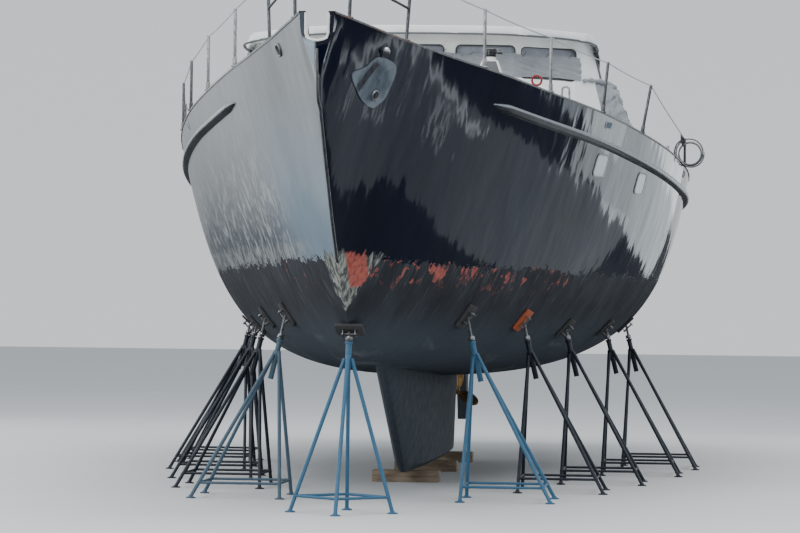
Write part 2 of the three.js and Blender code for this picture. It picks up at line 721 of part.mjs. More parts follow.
// Hatch lid about its hinge line, along its forward edge
const HATCH_LID = { hingeX: 5455, bottom: 3745, length: 710, half: 355, thick: 30 };
const makeHatchLid = () => box(-HATCH_LID.length, 0, -HATCH_LID.half, HATCH_LID.half, 0, HATCH_LID.thick);

const WINDLASS = { x: 6900, half: 130, top: 3960, axleZ: 3870, drumY: 194 };

function makeWindlass() {
  const { x, half, top, axleZ } = WINDLASS;
  const body = prismY(roundedRectangle(x - 140, x + 140, 3600, top, 60), -half, half, 3);
  const boss = rod([x, half - 10, axleZ], [x, half + 10, axleZ], 45, 12);
  return cut(join([body, boss]), [BELOW_DECK]);
}

// A waisted drum about its own centre, its axis upright before it is placed
function drum(radius, waist, half) {
  const top = radius * 0.92;
  return turned([
    [0, -half], [radius, -half], [radius, -half * 0.7], [waist, -half * 0.3],
    [waist, half * 0.4], [top, half * 0.8], [top, half], [0, half],
  ]);
}

// Ventilator: a tall box with sloping shoulders, a neck and a dark cap
function makeVentilator() {
  const VENT = { x: 4600, y: 1087, half: 106, shoulder: 3995, neckFoot: 4110, capFoot: 4180, top: 4228 };
  const { x, y, half, shoulder, neckFoot, capFoot, top } = VENT;
  const corners = [[-1, -1], [1, -1], [1, 1], [-1, 1]];
  const square = (size, z) => corners.map(([a, b]) => [x + a * size, y + b * size, z]);
  const trunk = loft([square(half, 3500), square(half, shoulder), square(half * 0.6, neckFoot)]);
  const neck = rod([x, y, neckFoot - 10], [x, y, capFoot + 10], 50, 12);
  const cap = rod([x, y, capFoot], [x, y, top], 66, 12, 60);
  return cut(join([trunk, neck, cap]), [BELOW_DECK]);
}

const MAST_STEP = { x: 1700, radius: 210, top: 3545 };

function makeMastStep() {
  const { x, radius, top } = MAST_STEP;
  return cut(rod([x, 0, 3400], [x, 0, top], radius, 24), [BELOW_DECK]);
}

// Shroud plates on the side deck: one strip with three tangs
function makeChainplates(side) {
  const STRIP = {
    bow: 2100, stern: 1300, inner: 1905, outer: 1985,
    height: 14, tangHeight: 190, tangs: [1420, 1700, 1980],
  };
  const { bow, stern, inner, outer, height, tangHeight, tangs } = STRIP;
  const [y0, y1] = side > 0 ? [inner, outer] : [-outer, -inner];
  const middle = (y0 + y1) / 2;
  const base = deckTop(STRIP.tangs[1]);
  const strip = box(stern, bow, y0, y1, base - 100, base + height + 20);
  const blades = tangs.map((x) => box(x - 32, x + 32, middle - 7, middle + 7, base, base + tangHeight));
  return cut(join([strip, ...blades]), [BELOW_DECK]);
}

const COAMING = {
  bow: -4165, stern: -7450, outer: 1390, inner: 1230, top: 3470,
  winchX: -5000, winchY: 1310,
};

function makeCoaming() {
  const { bow, stern, outer, inner, top, winchX, winchY } = COAMING;
  const outside = box(stern, bow, -outer, outer, 2900, top);
  const inside = box(stern + outer - inner, bow + 100, -inner, inner, 2800, 4000);
  const bases = [winchY, -winchY].map((y) => rod([winchX, y, top - 10], [winchX, y, top + 20], 78, 16));
  return cut(join([cut(outside, [inside]), ...bases]), [BELOW_DECK]);
}

function makeSeats() {
  const SEAT = { bow: -4450, stern: -7282, outer: 1222, inner: 600, aft: -6950, top: 3290 };
  const outside = box(SEAT.stern, SEAT.bow, -SEAT.outer, SEAT.outer, 2900, SEAT.top);
  const inside = box(SEAT.aft, SEAT.bow + 100, -SEAT.inner, SEAT.inner, 2800, 4000);
  return cut(outside, [inside, BELOW_DECK]);
}

const HELM = { x: -6300, axleZ: 3520, wheelX: -6480, wheelRadius: 400 };

function makePedestal() {
  const { x, axleZ } = HELM;
  const column = box(x - 80, x + 80, -70, 70, FOOTWELL.floor + GAP, axleZ + 90);
  const dome = turned([[0, 0], [95, 0], [95, 60], [70, 130], [0, 160]], 14);
  const binnacle = dome.translate([x, 0, axleZ + 80]);
  return join([column, binnacle]);
}

// Wheel about its own centre, turning on x
function makeWheel() {
  const { wheelRadius } = HELM;
  const RIM = 16;
  const rim = new THREE.TorusGeometry(wheelRadius - RIM, RIM, 6, 28).rotateY(Math.PI / 2);
  const spokes = Array.from({ length: 6 }, (_, k) => {
    const angle = (Math.PI * k) / 3;
    const reach = wheelRadius - RIM;
    return rod([0, 0, 0], [0, Math.cos(angle) * reach, Math.sin(angle) * reach], 9, 6);
  });
  const hub = rod([-25, 0, 0], [90, 0, 0], 38, 12);
  return join([solid(rim), ...spokes, hub]);
}

// Rails

const RAIL_RADIUS = 14;
const POST_INSET = 12;
const bulwarkMiddle = (x) => sheerHalf(x) - BULWARK_WALL / 2;
const bulwarkPlace = (x, side, up = -20) => [x, side * bulwarkMiddle(x), sheerHeight(x) + up];
const mirrorPoint = ([x, y, z]) => [x, -y, z];

function makePulpit() {
  const rail = [[7450, 620, 4600], [8250, 400, 4700], [8800, 170, 4757]];
  const path = [...rail, [8900, 0, 4765], ...rail.map(mirrorPoint).reverse()];
  const parts = [bentTube(path, RAIL_RADIUS, 16)];
  for (const side of [1, -1]) {
    const aftTop = [7480, side * 612, 4603];
    const frontTop = [8650, side * 238, 4742];
    parts.push(rod(bulwarkPlace(7550, side), aftTop, RAIL_RADIUS, 6));
    parts.push(rod(bulwarkPlace(8650, side), frontTop, RAIL_RADIUS, 6));
    parts.push(rod([7516, side * 597, 4310], [8650, side * 232, 4450], RAIL_RADIUS - 3));
  }
  return cut(join(parts), [BELOW_SHEER]);
}

function makePushpit() {
  const TOP = 3960;
  const sides = [-6890, -7500, -7900, -8500].map((x) => [x, bulwarkMiddle(x), TOP]);
  const path = [...sides, [-8840, 2130, TOP], [-8890, 1900, TOP], [-8892, 700, TOP]];
  const parts = [bentTube([...path, ...path.map(mirrorPoint).reverse()], RAIL_RADIUS, 26)];
  for (const side of [1, -1]) {
    for (const x of [-6914, -7900]) {
      parts.push(rod(bulwarkPlace(x, side), [x, side * bulwarkMiddle(x), TOP], RAIL_RADIUS));
    }
    for (const y of [1900 * side, 700 * side]) {
      parts.push(rod([-8892, y, 3340], [-8892, y, TOP], RAIL_RADIUS));
    }
  }
  return cut(join(parts), [BELOW_SHEER]);
}

// Stanchions of each guard rail: x, height above the bulwark, lean outboard at the top
const STANCHIONS = {
  port: [[5880, 530, 0], [4190, 530, 0], [2500, 510, 50], [810, 510, 90], [-2570, 330, 0]],
  starboard: [
    [5880, 530, 0], [4190, 530, 0], [2500, 510, 0], [810, 510, 0],
    [-1000, 510, 0], [-2800, 510, 0], [-4600, 510, 0],
  ],
};

function makeGuardRail(side, rows) {
  const POST = 15;
  const WIRE = 6;
  const foot = (x) => [x, side * (sheerHalf(x) - POST_INSET), sheerHeight(x) - 20];
  const tops = rows.map(([x, height, lean]) => [x, foot(x)[1] + side * lean, sheerHeight(x) + height]);
  const posts = rows.map(([x], k) => rod(foot(x), tops[k], POST, 8));
  const wirePoints = [[7444, side * 622, 4598], ...tops.map(([x, y, z]) => [x, y, z - 12])];
  if (side < 0) wirePoints.push([-6880, side * bulwarkMiddle(-6880), 3950]);
  const wires = wirePoints.slice(1).map((point, k) => rod(wirePoints[k], point, WIRE, 6));
  return cut(join([...posts, ...wires]), [BELOW_SHEER]);
}

// Upside-down U of tube on the port side deck
function makeGrabHoop() {
  const HOOP = { x: 3000, y: 1720, half: 36, top: 3996, radius: 10 };
  const { x, y, half, top, radius } = HOOP;
  const path = [[x, y - half, 3400], [x, y - half, top - 60], [x, y - half * 0.6, top - 12], [x, y, top],
    [x, y + half * 0.6, top - 12], [x, y + half, top - 60], [x, y + half, 3400]];
  return cut(bentTube(path, radius, 20), [BELOW_DECK]);
}

// A coil of cable hung on the low post of the port guard rail, as one plain ring of the coil's size
const COIL = { x: -2522, y: 2915, z: 3630, radius: 120, tube: 22 };

function makeCableCoil() {
  const { x, y, z, radius, tube } = COIL;
  const profile = Array.from({ length: 9 }, (_, k) => {
    const angle = (2 * Math.PI * k) / 8;
    return new THREE.Vector2(radius + tube * Math.cos(angle), tube * Math.sin(angle));
  });
  return solid(new THREE.LatheGeometry(profile, 20).rotateZ(Math.PI / 2).translate(x, y, z));
}

// Support group

const BLOCK = { places: [900, -1500, -3900], half: 350, halfLength: 125, top: KEEL.footZ - GAP };
function makeKeelBlock(x) {
  return box(x - BLOCK.halfLength, x + BLOCK.halfLength, -BLOCK.half, BLOCK.half, 0, BLOCK.top);
}

// Pairs of side stands from bow to stern: x of the pad and its height on the hull
const SIDE_STANDS = [[4150, 1740], [2400, 1710], [600, 1630], [-1400, 1635], [-3100, 1670]];
const STAND = {
  spread: 420, outboard: 420, apex: 1380, tubeTop: 1500, railZ: 130,
  leg: 17, rail: 13, tube: 26, screw: 15, handle: 9, footRadius: 46, padHalf: 125, padThick: 26,
};

// A jack stand that leans from the middle of its feet to a pad square to the hull
function stand(padCentre, normal, middle, feet) {
  const pad = new THREE.Vector3(...padCentre).addScaledVector(normal, STAND.padThick / 2 + 2);
  const foot = new THREE.Vector3(...middle);
  const onAxis = (z) => foot.clone().lerp(pad, z / pad.z);
  const rodBetween = (a, b, radius, sides = 5) => rod(a.toArray(), b.toArray(), radius, sides);
  const apex = onAxis(STAND.apex);
  const soles = feet.map(([x, y]) => new THREE.Vector3(middle[0] + x, middle[1] + y, 16));
  const corners = soles.map((sole) => sole.clone().lerp(apex, STAND.railZ / STAND.apex));
  const plate = new THREE.BoxGeometry(2 * STAND.padHalf, 2 * STAND.padHalf, STAND.padThick);
  plate.applyQuaternion(new THREE.Quaternion().setFromUnitVectors(new THREE.Vector3(0, 0, 1), normal));
  const handleMiddle = onAxis(STAND.tubeTop + 26);
  const reach = new THREE.Vector3(150, 0, 0);
  const parts = [
    solid(plate.translate(pad.x, pad.y, pad.z)),
    rodBetween(onAxis(STAND.apex - 260), onAxis(STAND.tubeTop), STAND.tube, 6),
    rodBetween(onAxis(STAND.tubeTop - 60), pad, STAND.screw, 6),
    rodBetween(handleMiddle.clone().sub(reach), handleMiddle.clone().add(reach), STAND.handle, 4),
  ];
  soles.forEach((sole, k) => {
    parts.push(rodBetween(sole, apex, STAND.leg));
    parts.push(rodBetween(corners[k], corners[(k + 1) % corners.length], STAND.rail, 4));
    parts.push(rod([sole.x, sole.y, 0], [sole.x, sole.y, 26], STAND.footRadius, 6));
  });
  return cut(join(parts), [HULL_CLEAR]);
}

function makeSideStand(side, x, z) {
  const STEP = 20;
  const half = halfAt(x, z);
  const alongX = (halfAt(x + STEP, z) - halfAt(x - STEP, z)) / (2 * STEP);
  const alongZ = (halfAt(x, z + STEP) - halfAt(x, z - STEP)) / (2 * STEP);
  const normal = new THREE.Vector3(-alongX, side, -alongZ).normalize();
  const { spread, outboard } = STAND;
  const feet = [[spread, spread], [-spread, spread], [-spread, -spread], [spread, -spread]];
  return stand([x, side * half, z], normal, [x, side * (half + outboard), 0], feet);
}

function makeBowStand() {
  const X = 6400;
  const SPREAD = 450;
  const slope = (hullRow(X + 20)[3] - hullRow(X - 20)[3]) / 40;
  const normal = new THREE.Vector3(slope, 0, -1).normalize();
  const feet = [[SPREAD, 0], [0, SPREAD], [-SPREAD, 0], [0, -SPREAD]];
  return stand([X, 0, hullRow(X)[3]], normal, [X + 50, -50, 0], feet);
}

// The yacht's scene graph

function piece(name, body, finish, place = [0, 0, 0]) {
  const [color, roughness, metalness] = FINISH[finish];
  const material = new THREE.MeshStandardMaterial({ color, roughness, metalness });
  const mesh = new THREE.Mesh(geometryOf(body), material);
  mesh.name = name;
  mesh.position.set(...place);
  return mesh;
}

function group(name, pieces) {
  const made = new THREE.Group();
  made.name = name;
  made.add(...pieces);
  return made;
}

const SIDES = [["port", 1], ["starboard", -1]];

function hullGroup() {
  const propeller = piece("propeller", makePropeller(), "agedBronze", shaftPoint(PROPELLER.x));
  propeller.rotation.y = -Math.atan(SHAFT.slope);
  return group("hull_group", [
    piece("bottom", makeBottom(), "underwater"),
    piece("topsides", makeTopsides(), "topsides"),
    ...Object.entries(BULWARK_LENGTHS).map(([word, length]) =>
      piece(`bulwark_${word}`, makeBulwark(length), "topsides"),
    ),
    piece("deck", makeDeck(), "deckPaint"),
    piece("stem_fitting", makeStemFitting(), "stainless"),
    piece("stem_bar", makeStemBar(), "stainless"),
    piece("anchor_plate", makeAnchorPlate(), "stainless"),
    piece("hawse_pipe", makeHawsePipe(), "stainless"),
    ...SIDES.map(([word, side]) => piece(`rubbing_strake_${word}`, makeStrake(side), "topsides")),
    piece("keel", makeKeel(), "underwater"),
    piece("skeg", makeSkeg(), "underwater"),
    piece("rudder", makeRudder(), "underwater", [RUDDER.x, 0, 0]),
    piece("propeller_shaft", makeShaft(), "agedBronze"),
    propeller,
  ]);
}

function deckhouseGroup() {
  return group("deckhouse_group", [
    piece("deckhouse_walls", makeHouseWalls(), "whitePaint"),
    piece("deckhouse_roof", makeRoof(), "whitePaint"),
    piece("deckhouse_glazing", makeGlazing(), "tintedGlass"),
    piece("companionway_door", makeDoor(), "whitePaint", [DOOR.outer, DOOR.half, DOOR.low]),
    ...SIDES.map(([word, side]) => piece(`roof_rail_${word}`, makeRoofRail(side), "stainless")),
    piece("window_cover", makeWindowCover(), "canvas"),
    piece("side_curtain", makeSideCurtain(), "canvas"),
  ]);
}

function deckGroup() {
  const windlassDrum = piece("windlass_drum", drum(92, 62, 50), "stainless", [
    WINDLASS.x,
    WINDLASS.drumY,
    WINDLASS.axleZ,
  ]);
  windlassDrum.rotation.x = -Math.PI / 2;
  const { winchX, winchY, top } = COAMING;
  const winches = SIDES.map(([word, side]) =>
    piece(`winch_${word}`, drum(74, 52, 82), "stainless", [winchX, side * winchY, top + 108]),
  );
  return group("deck_group", [
    piece("hatch_frame", makeHatchFrame(), "whitePaint"),
    piece("hatch_lid", makeHatchLid(), "tintedGlass", [HATCH_LID.hingeX, 0, HATCH_LID.bottom]),
    piece("windlass", makeWindlass(), "whitePaint"),
    windlassDrum,
    piece("ventilator", makeVentilator(), "whitePaint"),
    piece("mast_step", makeMastStep(), "stainless"),
    ...SIDES.map(([word, side]) => piece(`chainplates_${word}`, makeChainplates(side), "stainless")),
    piece("cockpit_coaming", makeCoaming(), "whitePaint"),
    piece("cockpit_seats", makeSeats(), "teak"),
    piece("pedestal", makePedestal(), "whitePaint"),
    piece("steering_wheel", makeWheel(), "stainless", [HELM.wheelX, 0, HELM.axleZ]),
    ...winches,
    piece("pulpit", makePulpit(), "stainless"),
    piece("pushpit", makePushpit(), "stainless"),
    ...SIDES.map(([word, side]) =>
      piece(`guard_rail_${word}`, makeGuardRail(side, STANCHIONS[word]), "stainless"),
    ),
    piece("grab_hoop", makeGrabHoop(), "stainless"),
    piece("cable_coil", makeCableCoil(), "rubber"),
  ]);
}

function supportGroup() {
  const blocks = BLOCK.places.map((x, k) => piece(`keel_block_${k + 1}`, makeKeelBlock(x), "timber"));
  const stands = SIDE_STANDS.flatMap(([x, z], k) =>
    SIDES.map(([word, side]) => piece(`stand_${word}_${k + 1}`, makeSideStand(side, x, z), "standBlack")),
  );
  return group("support_group", [...blocks, piece("stand_bow", makeBowStand(), "standBlue"), ...stands]);
}

export default group("sailing_yacht", [hullGroup(), deckhouseGroup(), deckGroup(), supportGroup()]);
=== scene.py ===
"""The looks of a sailing yacht laid up ashore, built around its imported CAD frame.

Metres, +X to the bow, +Y to port, +Z up, origin on the ground under the middle of the yacht.
"""

import functools
import math
import random

import bmesh
import bpy
from bpy.props import FloatProperty, FloatVectorProperty, PointerProperty
from mathutils import Matrix, Vector, noise


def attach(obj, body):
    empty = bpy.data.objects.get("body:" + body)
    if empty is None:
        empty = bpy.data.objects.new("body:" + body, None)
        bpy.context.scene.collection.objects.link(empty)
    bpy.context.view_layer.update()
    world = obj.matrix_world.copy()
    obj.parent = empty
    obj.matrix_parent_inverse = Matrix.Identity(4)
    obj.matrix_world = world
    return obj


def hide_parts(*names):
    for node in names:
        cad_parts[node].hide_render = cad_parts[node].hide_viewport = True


bl_info = {
    "name": "Sailing yacht ashore",
    "version": (1, 0, 0),
    "blender": (4, 5, 0),
    "location": "3D View > Sidebar > Yacht",
    "description": "Builds the visible pieces of a laid-up sailing yacht on its CAD frame",
    "category": "Object",
}

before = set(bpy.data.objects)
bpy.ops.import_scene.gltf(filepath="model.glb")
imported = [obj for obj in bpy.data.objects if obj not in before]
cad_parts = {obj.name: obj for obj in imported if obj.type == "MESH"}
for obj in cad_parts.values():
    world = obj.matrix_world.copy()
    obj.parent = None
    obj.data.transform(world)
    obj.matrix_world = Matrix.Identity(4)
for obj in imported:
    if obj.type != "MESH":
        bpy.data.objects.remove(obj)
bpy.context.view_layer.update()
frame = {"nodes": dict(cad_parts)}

# Sections of the hull in mm: x, half-breadth and height of the sheer, height of the keel line,
# y and z of the low control point, y and z of the high control point
HULL_SECTIONS = (
    (9000, 140, 4140, 3860, 105, 3860, 135, 3900),
    (8940, 160, 4135, 3620, 20, 3660, 100, 3900),
    (8700, 230, 4120, 3380, 20, 3420, 150, 3800),
    (8300, 360, 4090, 2980, 30, 3030, 200, 3550),
    (7800, 520, 4050, 2510, 40, 2620, 270, 3300),
    (7200, 720, 4010, 2050, 80, 2220, 360, 2950),
    (6600, 910, 3975, 1700, 200, 1860, 500, 2650),
    (5800, 1160, 3940, 1440, 420, 1550, 720, 2400),
    (4200, 1640, 3850, 1300, 800, 1260, 1120, 2050),
    (2500, 2080, 3770, 1200, 1150, 1160, 1550, 1800),
    (800, 2440, 3670, 1140, 1450, 1110, 1950, 1620),
    (-1200, 2740, 3560, 1080, 1850, 1080, 2350, 1620),
    (-3200, 2890, 3460, 1080, 2050, 1100, 2580, 1660),
    (-5200, 2840, 3400, 1200, 2050, 1240, 2540, 1760),
    (-7000, 2620, 3370, 1480, 1920, 1550, 2360, 1980),
    (-8300, 2380, 3360, 1830, 1780, 1920, 2160, 2240),
    (-9000, 2220, 3360, 2080, 1660, 2170, 2020, 2450),
)
CORNERS = ((1, 1), (-1, 1), (-1, -1), (1, -1))
SIDES = (("port", 1), ("starboard", -1))
HALF_LENGTH = 9.0
BULWARK_HEIGHT = 0.28
BULWARK_WALL = 0.05
WELL_BOW = 8.88
WELL_STERN = -8.86
NOTCH_HALF = 0.088
NOTCH_SHOULDER = 3.945
NOTCH_BOTTOM = 3.89
TRANSOM_TOP = Vector((-9.0, 0, 3.36))
TRANSOM_FOOT = Vector((-8.74, 0, 2.0))
STRAKE_BOW = 5.48
STRAKE_STERN = -8.94
STRAKE_HALF = 0.042
STRAKE_PROUD = 0.052
KEEL_FOOT = 0.12
KEEL_ROOT = 1.46
WELLS = (
    ((-7.2, -0.55, 2.7), (-4.35, 0.55, 3.14)),
    ((-4.0, -1.5, 2.6), (0.0, 1.5, 3.3)),
    ((4.8, -0.3, 3.3), (5.4, 0.3, 3.6)),
)
PORTLIGHTS = ((2.1, 3.268), (0.34, 3.165))
SCUPPERS = ((1.96, -1), (2.23, 1), (-2.51, 1), (-2.51, -1))


@functools.lru_cache(maxsize=None)
def hull_row(x):
    """One row of the hull table at any x, in metres, smooth between its sections."""
    rows = HULL_SECTIONS
    x = x * 1000
    i = 0
    while i < len(rows) - 2 and x < rows[i + 1][0]:
        i += 1

    def chord(j, column):
        return (rows[j + 1][column] - rows[j][column]) / (rows[j + 1][0] - rows[j][0])

    def slope(j, column):
        if j == 0:
            return chord(0, column)
        if j == len(rows) - 1:
            return chord(j - 1, column)
        before = rows[j - 1][0] - rows[j][0]
        after = rows[j][0] - rows[j + 1][0]
        return (chord(j - 1, column) * after + chord(j, column) * before) / (before + after)

    span = rows[i + 1][0] - rows[i][0]
    s = (x - rows[i][0]) / span
    made = []
    for c in range(1, 8):
        ends = (2 * s**3 - 3 * s**2 + 1) * rows[i][c] + (3 * s**2 - 2 * s**3) * rows[i + 1][c]
        slopes = (s**3 - 2 * s**2 + s) * slope(i, c) + (s**3 - s**2) * slope(i + 1, c)
        made.append((ends + slopes * span) / 1000)
    return tuple(made)


def sheer_half(x):
    """Half-breadth of the hull at the sheer, its upper edge."""
    return hull_row(x)[0]


def sheer_height(x):
    return hull_row(x)[1]


def keel_line(x):
    return hull_row(x)[2]


def deck_height(x):
    return sheer_height(x) - BULWARK_HEIGHT


def section(x, t):
    """y and z on the port side of the section at x, t from 0 at the keel line to 1 at the sheer."""
    sheer_y, sheer_z, keel_z, low_y, low_z, high_y, high_z = hull_row(x)
    a, b, c, d = (1 - t) ** 3, 3 * t * (1 - t) ** 2, 3 * t * t * (1 - t), t**3
    return b * low_y + c * high_y + d * sheer_y, a * keel_z + b * low_z + c * high_z + d * sheer_z


@functools.lru_cache(maxsize=None)
def half_at(x, z):
    """Half-breadth of the hull at x and height z."""
    low, high = 0.0, 1.0
    for _ in range(30):
        middle = (low + high) / 2
        if section(x, middle)[1] < z:
            low = middle
        else:
            high = middle
    return section(x, high)[0]


def hull_normal(x, z, side):
    step = 0.01
    along_x = (half_at(x + step, z) - half_at(x - step, z)) / (2 * step)
    along_z = (half_at(x, z + step) - half_at(x, z - step)) / (2 * step)
    return Vector((-along_x, side, -along_z)).normalized()


def on_hull(x, z, side, off=0.0):
    """The point of the hull's surface at x and z, moved out square to it."""
    return Vector((x, side * half_at(x, z), z)) + hull_normal(x, z, side) * off


def hull_frame(x, z, side, off=0.0):
    """A matrix on the hull's surface whose Z points out of it."""
    return frame_at(on_hull(x, z, side, off), hull_normal(x, z, side))


def lerp(a, b, s):
    return a + (b - a) * s


def smooth_path(points, steps=8, closed=False):
    """Points along a smooth line through the given points."""
    points = [Vector(p) for p in points]
    count = len(points)
    made = []
    for i in range(count if closed else count - 1):
        if closed:
            a, b, c, d = (points[(i + k) % count] for k in (-1, 0, 1, 2))
        else:
            b, c = points[i], points[i + 1]
            a = points[i - 1] if i else b * 2 - c
            d = points[i + 2] if i + 2 < count else c * 2 - b
        for k in range(steps):
            s = k / steps
            made.append(
                0.5
                * (2 * b + (c - a) * s + (2 * a - 5 * b + 4 * c - d) * s * s
                   + (3 * b - a - 3 * c + d) * s**3)
            )
    return made if closed else [*made, points[-1]]


def circle(radius, count):
    """Points round a circle about the origin."""
    turns = (2 * math.pi * k / count for k in range(count))
    return [(radius * math.cos(turn), radius * math.sin(turn)) for turn in turns]


def flat_section(half, low, high):
    """The outline of a flat strip."""
    return (-half, low), (half, low), (half, high), (-half, high)


def rounded_rectangle(half_u, half_v, radius, steps=5):
    corners = ((1, 1, 0), (-1, 1, 90), (-1, -1, 180), (1, -1, 270))
    made = []
    for u, v, start in corners:
        for k in range(steps + 1):
            angle = math.radians(start + 90 * k / steps)
            made.append(
                (
                    u * (half_u - radius) + radius * math.cos(angle),
                    v * (half_v - radius) + radius * math.sin(angle),
                )
            )
    return made


def frame_at(centre, out, up=(0, 0, 1)):
    """A matrix at a point whose Z points out and whose Y points about up."""
    out = Vector(out).normalized()
    across = Vector(up).cross(out).normalized()
    turn = Matrix((across, out.cross(across), out)).transposed()
    return Matrix.Translation(centre) @ turn.to_4x4()


class Shape:
    """A mesh under construction, with one material index in use at a time."""

    def __init__(self):
        self.bm = bmesh.new()
        self.made = self.bm.faces.layers.int.new("made")
        self.index = 0

    def use(self, index):
        self.mark()
        self.index = index
        return self

    def mark(self):
        for face in self.bm.faces:
            if not face[self.made]:
                face[self.made] = 1
                face.material_index = self.index

    def grid(self, across, along, place):
        """A sheet of quads whose point at u and v, each from 0 to 1, is moved to place(u, v)."""
        made = bmesh.ops.create_grid(self.bm, x_segments=across, y_segments=along, size=0.5)["verts"]
        for vert in made:
            vert.co = place(vert.co.x + 0.5, vert.co.y + 0.5)
        bmesh.ops.remove_doubles(self.bm, verts=made, dist=1e-5)

    def sweep(self, path, profile, closed=False, size=None, up=None):
        """Sweeps a closed profile of (side, up) offsets along a path of points."""
        path = [Vector(p) for p in path]
        count = len(path)
        frames = []
        normal = None
        for i, point in enumerate(path):
            after = path[(i + 1) % count] if closed or i + 1 < count else point
            before = path[i - 1] if closed or i else point
            run = (after - before).normalized()
            if up is not None:
                normal = Vector(up)
            elif normal is None:
                normal = run.orthogonal()
            normal = (normal - run * normal.dot(run)).normalized()
            frames.append((point, run.cross(normal), normal))
        turns = len(profile)
        segments = count if closed else count - 1

        def place(u, v):
            i = round(u * segments)
            point, across, normal = frames[i % count]
            a, b = profile[round(v * turns) % turns]
            k = size(i / segments) if size else 1.0
            return point + across * (a * k) + normal * (b * k)

        before = set(self.bm.edges)
        self.grid(segments, turns, place)
        if not closed:
            ends = [e for e in self.bm.edges if e not in before and e.is_boundary]
            bmesh.ops.holes_fill(self.bm, edges=ends, sides=0)

    def tube(self, path, radius, sides=10, closed=False, size=None):
        self.sweep(path, circle(radius, sides), closed, size)

    def rod(self, start, end, radius, far=None, sides=14, bevel=0.0):
        start, end = Vector(start), Vector(end)
        run = end - start
        turn = run.to_track_quat("Z", "Y").to_matrix().to_4x4()
        made = bmesh.ops.create_cone(
            self.bm,
            cap_ends=True,
            segments=sides,
            radius1=radius,
            radius2=radius if far is None else far,
            depth=run.length,
            matrix=Matrix.Translation((start + end) / 2) @ turn,
        )["verts"]
        if bevel:
            rims = {
                e for v in made for e in v.link_edges if any(len(f.verts) > 4 for f in e.link_faces)
            }
            self.round_edges(rims, bevel)

    def round_edges(self, edges, offset, segments=2):
        bmesh.ops.bevel(
            self.bm,
            geom=list(edges),
            offset=offset,
            offset_type="OFFSET",
            segments=segments,
            profile=0.5,
            affect="EDGES",
            clamp_overlap=True,
            material=-1,
        )

    def block(self, low, high, bevel=0.005, segments=2, matrix=None):
        low, high = Vector(low), Vector(high)
        place = Matrix.Translation((low + high) / 2) @ Matrix.Diagonal((*(high - low), 1))
        made = bmesh.ops.create_cube(self.bm, size=1.0, matrix=(matrix or Matrix()) @ place)["verts"]
        self.round_edges({e for v in made for e in v.link_edges}, bevel, segments)

    def turned(self, profile, matrix, steps=24):
        """Turns a profile of (radius, height) about the matrix's Z axis."""
        verts = [self.bm.verts.new((r, 0, h)) for r, h in profile]
        edges = [self.bm.edges.new(pair) for pair in zip(verts, verts[1:])]
        made = bmesh.ops.spin(
            self.bm,
            geom=[*verts, *edges],
            cent=(0, 0, 0),
            axis=(0, 0, 1),
            angle=2 * math.pi,
            steps=steps,
            use_merge=True,
            use_duplicate=False,
        )
        lathe = {v for v in verts if v.is_valid}
        lathe |= {item for item in made["geom_last"] if isinstance(item, bmesh.types.BMVert)}
        grown = set(lathe)
        frontier = list(lathe)
        while frontier:
            vert = frontier.pop()
            for edge in vert.link_edges:
                other = edge.other_vert(vert)
                if other not in grown:
                    grown.add(other)
                    frontier.append(other)
        bmesh.ops.transform(self.bm, matrix=matrix, verts=list(grown))
        bmesh.ops.remove_doubles(self.bm, verts=list(grown), dist=1e-5)

    def plate(self, outline, thickness, matrix, bevel=0.002, segments=2):
        """A flat plate of the outline's form in the matrix's XY plane, rising along its Z."""
        face = self.bm.faces.new([self.bm.verts.new((u, v, 0)) for u, v in outline])
        made = bmesh.ops.extrude_face_region(self.bm, geom=[face], use_keep_orig=True)["geom"]
        top = [item for item in made if isinstance(item, bmesh.types.BMVert)]
        bmesh.ops.translate(self.bm, vec=(0, 0, thickness), verts=top)
        both = {*top, *face.verts}
        bmesh.ops.transform(self.bm, matrix=matrix, verts=list(both))
        if bevel:
            rims = {e for v in both for e in v.link_edges if e.calc_face_angle(0) > 1.2}
            self.round_edges(rims, bevel, segments)

    def mirror(self):
        bmesh.ops.mirror(
            self.bm, geom=[*self.bm.verts, *self.bm.edges, *self.bm.faces], axis="Y", merge_dist=1e-4
        )

    def copy_node(self, node, bevel, segments=2, sharp=30):
        """The CAD node's mesh with its edges rounded."""
        self.bm.from_mesh(frame["nodes"][node].data)
        bmesh.ops.remove_doubles(self.bm, verts=self.bm.verts, dist=1e-5)
        bmesh.ops.dissolve_limit(
            self.bm,
            angle_limit=math.radians(1),
            verts=self.bm.verts,
            edges=self.bm.edges,
            use_dissolve_boundaries=False,
        )
        edges = [e for e in self.bm.edges if e.calc_face_angle(0) > math.radians(sharp)]
        self.round_edges(edges, bevel, segments)

    def finish(self, name, materials, body="yacht", replaces=(), smooth=35, outward=True):
        self.mark()
        if outward:
            bmesh.ops.recalc_face_normals(self.bm, faces=self.bm.faces)
        limit = math.radians(smooth)
        for face in self.bm.faces:
            face.smooth = True
        for edge in self.bm.edges:
            edge.smooth = edge.calc_face_angle(0) < limit
        self.bm.faces.layers.int.remove(self.made)
        mesh = bpy.data.meshes.new(name)
        self.bm.to_mesh(mesh)
        self.bm.free()
        for material in materials if isinstance(materials, (list, tuple)) else [materials]:
            mesh.materials.append(material)
        made = bpy.data.objects.new(name, mesh)
        bpy.context.scene.collection.objects.link(made)
        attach(made, body)
        if replaces:
            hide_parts(*replaces)
        return made


# Materials


